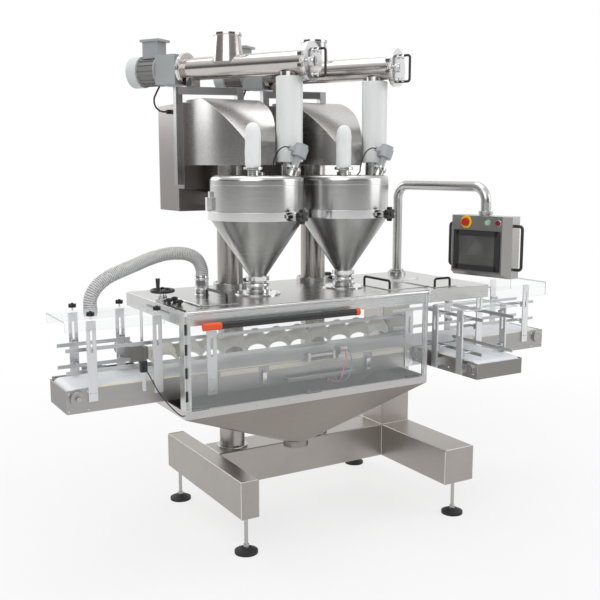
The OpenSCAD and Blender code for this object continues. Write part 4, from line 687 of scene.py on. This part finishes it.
# Sleeves and bags over the hoppers. A sleeve's wall runs between its two rims
SLEEVE_LOW, SLEEVE_TOP = 1797, 2190
OUTER_LOW, OUTER_RUN, OUTER_STEPS = 1804, 381, 28
INNER_TOP, INNER_RUN, INNER_STEPS = 2185, 379, 12
BELLY = 1.2
for side, x in SIDES:
    bm = bmesh.new()
    sleeve_x, sleeve_y = x + 160, SPOUT_Y - 26

    def ripple(a, z, x=x):
        """Slow waves of a sleeve's wall, none at its rims."""
        n = noise.noise(Vector((math.cos(a) * 1.4 + x, math.sin(a) * 1.4, z * 0.006)))
        return 1.3 * n * math.sin(math.pi * min(max((z - 1806) / 374, 0), 1))

    wall = [(43, SLEEVE_LOW), (58, 1797.5), (63, 1800), (63.5, OUTER_LOW)]
    wall += [(63.2 - BELLY * math.sin(math.pi * i / OUTER_STEPS), OUTER_LOW + OUTER_RUN * i / OUTER_STEPS)
             for i in range(1, OUTER_STEPS)]
    wall += [(63.5, 2185), (63, 2188), (60, 2189.6), (49, SLEEVE_TOP), (48.5, 2188), (59, 2186.5)]
    wall += [(60.2 - BELLY * math.sin(math.pi * i / INNER_STEPS), INNER_TOP - INNER_RUN * i / INNER_STEPS)
             for i in range(1, INNER_STEPS)]
    wall += [(59, 1802), (43, 1801), (43, SLEEVE_LOW)]
    lathe(bm, wall, at(sleeve_x, sleeve_y, 0), sides=48, wave=ripple)
    o = piece("drop_sleeve_" + side, bm, sleeve_plastic, sharp=50)
    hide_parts("drop_sleeves")

    bm = bmesh.new()
    bag_x, bag_y, bag_z = x - 85, SPOUT_Y - 125, HOPPER_TOP + 67
    cloth = [(0, 1), (26, 0.5), (31, 2), (33, 6), (32, 11), (32.5, 15), (35, 22), (36.3, 34)]
    cloth += [(36.4 - 0.5 * math.sin(i), 34 + 11 * i) for i in range(1, 12)]
    cloth += [(35.6, 167), (33.8, 180), (30.2, 190), (24.5, 199), (16.5, 206), (8, 209.5), (0, 210.5)]

    def fold(a, z, x=x):
        """Gathers where a bag is tied and at its top, and slow billows between."""
        near_tie = math.exp(-((z - 12) / 22) ** 2)
        near_top = math.exp(-((z - 196) / 24) ** 2)
        n = noise.noise(Vector((math.cos(a) * 1.6 + x, math.sin(a) * 1.6, z * 0.018)))
        pleat = math.sin(11 * a + 2 * n)
        return 1.5 * pleat * (near_tie + 0.7 * near_top) + 2.0 * n * min(1, z / 30) - 0.8

    lathe(bm, cloth, at(bag_x, bag_y, bag_z), sides=64, wave=fold)
    o = piece("breather_bag_" + side, bm, bag_cloth, sharp=80)
    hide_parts("breather_bags")
    bm = bmesh.new()
    lathe(bm, [(33.5, 2), (41, 2), (43.5, 4), (43.5, 14), (41, 16), (33.5, 16), (33.5, 2)],
          at(bag_x, bag_y, bag_z), sides=40)
    for a in (200, 20):
        c, s = math.cos(math.radians(a)), math.sin(math.radians(a))
        lathe(bm, [(0, -9), (4.5, -9), (5, -8), (5, 8), (4.5, 9), (0, 9)],
              at(bag_x + 46 * c, bag_y + 46 * s, bag_z + 9), (-s, c, 0), 16)
    piece("bag_clamp_" + side, bm, chrome)

# Weld seams of the base
BEAM_TOP, BEAM_LOW = 360, 180
SEAMS = [
    ((-545, -93, BEAM_TOP), (-545, 93, BEAM_TOP)), ((-545, -94, BEAM_LOW + 4), (-545, -94, BEAM_TOP - 3)),
    ((452, -93, BEAM_TOP), (452, 93, BEAM_TOP)), ((452, -94, BEAM_LOW + 4), (452, -94, BEAM_TOP - 3)),
    ((452, -94, BEAM_TOP), (637, -94, BEAM_TOP)), ((452, 94, BEAM_TOP), (637, 94, BEAM_TOP)),
    ((-545, 94, BEAM_LOW + 4), (-545, 94, BEAM_TOP - 3)), ((452, 94, BEAM_LOW + 4), (452, 94, BEAM_TOP - 3)),
]
for x0, x1, front in ((-637, -545, -510), (452, 637, -637)):
    for y in (front + 1, 353):
        SEAMS += [((x0 + 6, y, BEAM_TOP), (x1 - 6, y, BEAM_TOP)),
                  ((x0, y, BEAM_LOW + 6), (x0, y, BEAM_TOP - 6)),
                  ((x1, y, BEAM_LOW + 6), (x1, y, BEAM_TOP - 6))]
BEAD_R, RIPPLE, RIPPLE_PITCH, BEAD_STEP = 0.0020, 0.0006, 0.0052, 0.0016


def bead(s, a):
    """A seam's radius in metres along its length."""
    return BEAD_R + RIPPLE * math.sin(2 * math.pi * s / RIPPLE_PITCH)


bm = bmesh.new()
for a, b in SEAMS:
    a, b = at(*a), at(*b)
    n = int((b - a).length / BEAD_STEP)
    sweep(bm, [a + (b - a) * i / n for i in range(n + 1)], bead, 8)
piece("weld_seams", bm, weld_metal, sharp=80)

# Screws of the fixed parts: places in X, Y and Z, axis, size and hexagon heads
FRONT_POSTS = [x + dx for x in (-1274, -985, 850, 1190) for dx in (-9, 9)]
REAR_POSTS = [x + dx for x in (-1274, -1062, 850, 1190) for dx in (-9, 9)]
SCREWS = (
    ((-1377, -1296, 1246, 1327), [-415], (778, 853), FRONT, 9, False),
    (FRONT_POSTS, [-423], [846], FRONT, 9, False),
    ((-730, 375), [-423], (785, 845), FRONT, 12, True),
    (REAR_POSTS, [-157], [846], BACK, 9, False),
    ([405], (-876, -700, -500), [812], LEFT, 9, False),
    ([690], (-876, -700, -500), [812], RIGHT, 9, False),
    ((-860, -600, -440, -60, 120, 300), [-600], [741], FRONT, 8, False),
    (range(-900, 701, 200), [-600], [1150], FRONT, 7, False),
    ((-560, -300, -40, 190), [478], (1620, 2040), BACK, 11, False),
)
FLANGE_R = 70


def screw_circle(bm, x, y, z, r, count, first, d):
    """Upright screws in a circle, the first one at an angle in degrees."""
    for k in range(count):
        a = math.radians(first + 360 * k / count)
        screw(bm, at(x + r * math.cos(a), y + r * math.sin(a), z), UP, d)


bm = bmesh.new()
for xs, ys, zs, axis, d, hexagon in SCREWS:
    for x, y, z in product(xs, ys, zs):
        screw(bm, at(x, y, z), axis, d, hexagon)
for x in HEADS:
    screw_circle(bm, x, SPOUT_Y, z=1191, r=94, count=6, first=20, d=9)
    screw_circle(bm, x, 0, z=1207, r=75, count=4, first=45, d=9)
screw_circle(bm, POST_X, 0, z=1201, r=41, count=6, first=30, d=8)
for dx, along, a in product((0, PITCH), (10, FEEDER_LEN + 10.3), range(15, 360, 45)):
    c, s = math.cos(math.radians(a)), math.sin(math.radians(a))
    p = FEEDER_AT + Vector((dx, 0, FLANGE_R * s)) + FEEDER_DIR * along + FEEDER_SIDE * FLANGE_R * c
    screw(bm, at(*p), FEEDER_DIR, 12, True)
piece("frame_screws", bm, chrome, sharp=35)

# Spout clamps with wing nuts
c, s = math.cos(math.radians(210)), math.sin(math.radians(210))
for side, x in SIDES:
    bm = bmesh.new()
    lathe(bm, [(43, 1222), (51, 1222), (55.5, 1226), (55.5, 1234), (51, 1238), (43, 1238), (43, 1222)],
          at(x, SPOUT_Y, 0), sides=48)
    for k in (-9, 9):
        lug_x, lug_y = x + 60 * c + k * s, SPOUT_Y + 60 * s - k * c
        block(bm, (lug_x - 7, lug_y - 5, 1221), (lug_x + 7, lug_y + 5, 1239), 2)
    bolt_x, bolt_y = x + 62 * c, SPOUT_Y + 62 * s
    lathe(bm, [(0, -16), (4, -16), (4, 14), (7, 15), (7, 22), (0, 23)],
          at(bolt_x, bolt_y, 1230), (s, -c, 0), 16)
    for k in (-1, 1):
        lathe(bm, [(0, 0), (5, 1), (6.5, 8), (5, 14), (0, 15)], at(bolt_x + 18 * s, bolt_y - 18 * c, 1230),
              (0, 0, k), 12)
    piece("spout_clamp_" + side, bm, chrome, sharp=50)

# Hose cuff with two band clamps on the hood
cuff = at(*HOSE_ROUTE[0][:2], 0)
bm = bmesh.new()
lathe(bm, [(30.4, 1186), (34, 1186), (34, 1190), (31.8, 1191), (31.8, 1277), (31.2, 1279), (30.4, 1279),
           (30.4, 1186)], cuff, sides=48)
for z in (1208, 1258):
    lathe(bm, [(31.5, z), (33, z), (33.3, z + 1), (33.3, z + 9), (33, z + 10), (31.5, z + 10), (31.5, z)],
          cuff, sides=48)
    block(bm, (-689, -239, z - 1), (-669, -231, z + 11), 1.5)
    lathe(bm, [(0, -2), (4, -2), (4, 22), (5.5, 22), (5.5, 27), (0, 27)], at(-691, -236, z + 5), RIGHT, 12)
piece("hose_cuff", bm, chrome, sharp=40)

# Black strip on the roof's left end and strips on the front left post
bm = bmesh.new()
block(bm, (-938, -598, ROOF_TOP + 0.2), (-926, -430, ROOF_TOP + 4), 1)
for z in (800, 900, 1000, 1085):
    block(bm, (-937, -601.5, z), (-922, -600, z + 46), 0.6)
piece("hood_strips", bm, black_rubber, sharp=50)

# Star knobs on plates beside the columns, and small knobs by the handwheel
STAR_KNOB = [(0, 0), (9, 0), (9, 10), (21, 12), (23, 17), (22, 26), (14, 30), (0, 31)]
SMALL_KNOB = [(0, 0), (8, 0), (8, 6), (14, 8), (15.5, 13), (14.5, 20), (8, 23), (0, 23.5)]
bm = bmesh.new()
for x, y in ((-318, 26), (166, 26)):
    block(bm, (x - 24, y - 30, ROOF_TOP + 0.3), (x + 24, y + 30, ROOF_TOP + 4), 1, index=1)
    lathe(bm, STAR_KNOB, at(x, y, ROOF_TOP + 4), sides=30,
          wave=lambda a, z: 0 if z < 11 else 2.2 * math.cos(5 * a))
for x, y in ((-905, -362), (-866, -330), (-880, -420)):
    lathe(bm, SMALL_KNOB, at(x, y, ROOF_TOP + 0.3), sides=24)
piece("small_knobs", bm, (black_plastic, chrome), sharp=50)

# Cream wear strips: beside the belts, and on the front of the side plate
BELT_STRIPS = (
    ((-1290, -414.5, 865.7), (-735, -396, 871.5)), ((-700, -414.5, 865.7), (-262, -396, 871.5)),
    ((-18, -414.5, 865.7), (350, -396, 871.5)), ((690, -414.5, 865.7), (1245, -396, 871.5)),
)
PLATE_STRIPS = tuple(((a, -421, 842), (b, -418.2, 864.5)) for a, b in ((-690, -495), (-440, 90), (146, 342)))
EDGE_STRIPS = (
    ((-1290, -174, 865.7), (1245, -165.5, 870.5)), ((405.5, -822, 865.7), (414, -492, 870.5)),
    ((681, -822, 865.7), (689.5, -492, 870.5)),
)
bm = bmesh.new()
for low, high in BELT_STRIPS + PLATE_STRIPS + EDGE_STRIPS:
    block(bm, low, high, 0.8)
piece("wear_strips", bm, strip_plastic, sharp=60)


# Stage
FLOOR_HALF = 40
WHITE_FROM, WHITE_TO = 1.3, 4.0


def sheet_material(name, white):
    """White to the camera, to gloss and through glass, and a plain diffuse surface to the light.
    white is the share of white near the machine, and it rises to all white further out."""
    m = bpy.data.materials.new(name)
    m.use_nodes = True
    tree = m.node_tree
    p = tree.nodes["Principled BSDF"]
    p.inputs["Base Color"].default_value = (0.86, 0.86, 0.86, 1)
    p.inputs["Roughness"].default_value = 0.9
    p.inputs["Specular IOR Level"].default_value = 0.1
    glow = tree.nodes.new("ShaderNodeEmission")
    glow.inputs["Color"].default_value = (1, 1, 1, 1)
    rays = tree.nodes.new("ShaderNodeLightPath").outputs
    seen = rays["Is Camera Ray"]
    for key in ("Is Glossy Ray", "Is Transmission Ray"):
        seen = math_node(tree, "MAXIMUM", seen, rays[key])
    place = tree.nodes.new("ShaderNodeTexCoord").outputs["Object"]
    rise = ramp_node(tree, vector_node(tree, "LENGTH", place), WHITE_FROM, WHITE_TO, white, 1.0, smooth=True)
    mix = tree.nodes.new("ShaderNodeMixShader")
    tree.links.new(math_node(tree, "MULTIPLY", seen, rise), mix.inputs["Fac"])
    tree.links.new(p.outputs[0], mix.inputs[1])
    tree.links.new(glow.outputs[0], mix.inputs[2])
    tree.links.new(mix.outputs[0], tree.nodes["Material Output"].inputs["Surface"])
    return m


bm = bmesh.new()
bmesh.ops.create_grid(bm, x_segments=1, y_segments=1, size=FLOOR_HALF)
mesh = bpy.data.meshes.new("floor")
bm.to_mesh(mesh)
bm.free()
floor = bpy.data.objects.new("floor", mesh)
scene.collection.objects.link(floor)
mesh.materials.append(sheet_material("floor", 0.72))

# World: white to the camera, and in reflections white ahead and above, falling to grey behind
world = bpy.data.worlds.new("studio")
scene.world = world
world.use_nodes = True
tree = world.node_tree
direction = tree.nodes.new("ShaderNodeTexCoord").outputs["Generated"]


def facing(vector, low, high):
    """From 0 to 1 by how far a ray's direction agrees with vector."""
    agree = vector_node(tree, "DOT_PRODUCT", direction, vector)
    return ramp_node(tree, agree, low, high, 0.0, 1.0, smooth=True)


ahead = facing((math.sin(YAW), math.cos(YAW), 0), -0.15, 0.62)
above = facing(UP, 0.12, 0.75)
level = ramp_node(tree, math_node(tree, "MAXIMUM", ahead, above), 0.0, 1.0, 0.12, 1.0)
rays = tree.nodes.new("ShaderNodeLightPath").outputs
strength = mix_node(tree, rays["Is Glossy Ray"], 0.50, level)
strength = mix_node(tree, rays["Is Camera Ray"], strength, 1.0)
back = tree.nodes["Background"]
back.inputs["Color"].default_value = (1, 1, 1, 1)
tree.links.new(strength, back.inputs["Strength"])


def lamp(name, place, target, size, power):
    data = bpy.data.lights.new(name, "AREA")
    data.shape = "RECTANGLE"
    data.size, data.size_y = size
    data.energy = power
    o = bpy.data.objects.new(name, data)
    scene.collection.objects.link(o)
    o.location = place
    o.rotation_euler = (Vector(target) - Vector(place)).to_track_quat("-Z", "Y").to_euler()


lamp("key", (-3.2, -3.2, 4.2), (0, 0, 1.1), (4.0, 4.0), 100)
lamp("fill", (3.6, -2.6, 2.6), (0, 0, 1.0), (2.6, 2.2), 50)
lamp("top", (0.0, 0.4, 5.0), (0, 0, 1.0), (4.0, 3.0), 70)
lamp("rim", (-2.0, 4.0, 3.2), (0, 0, 1.4), (3.0, 2.0), 45)
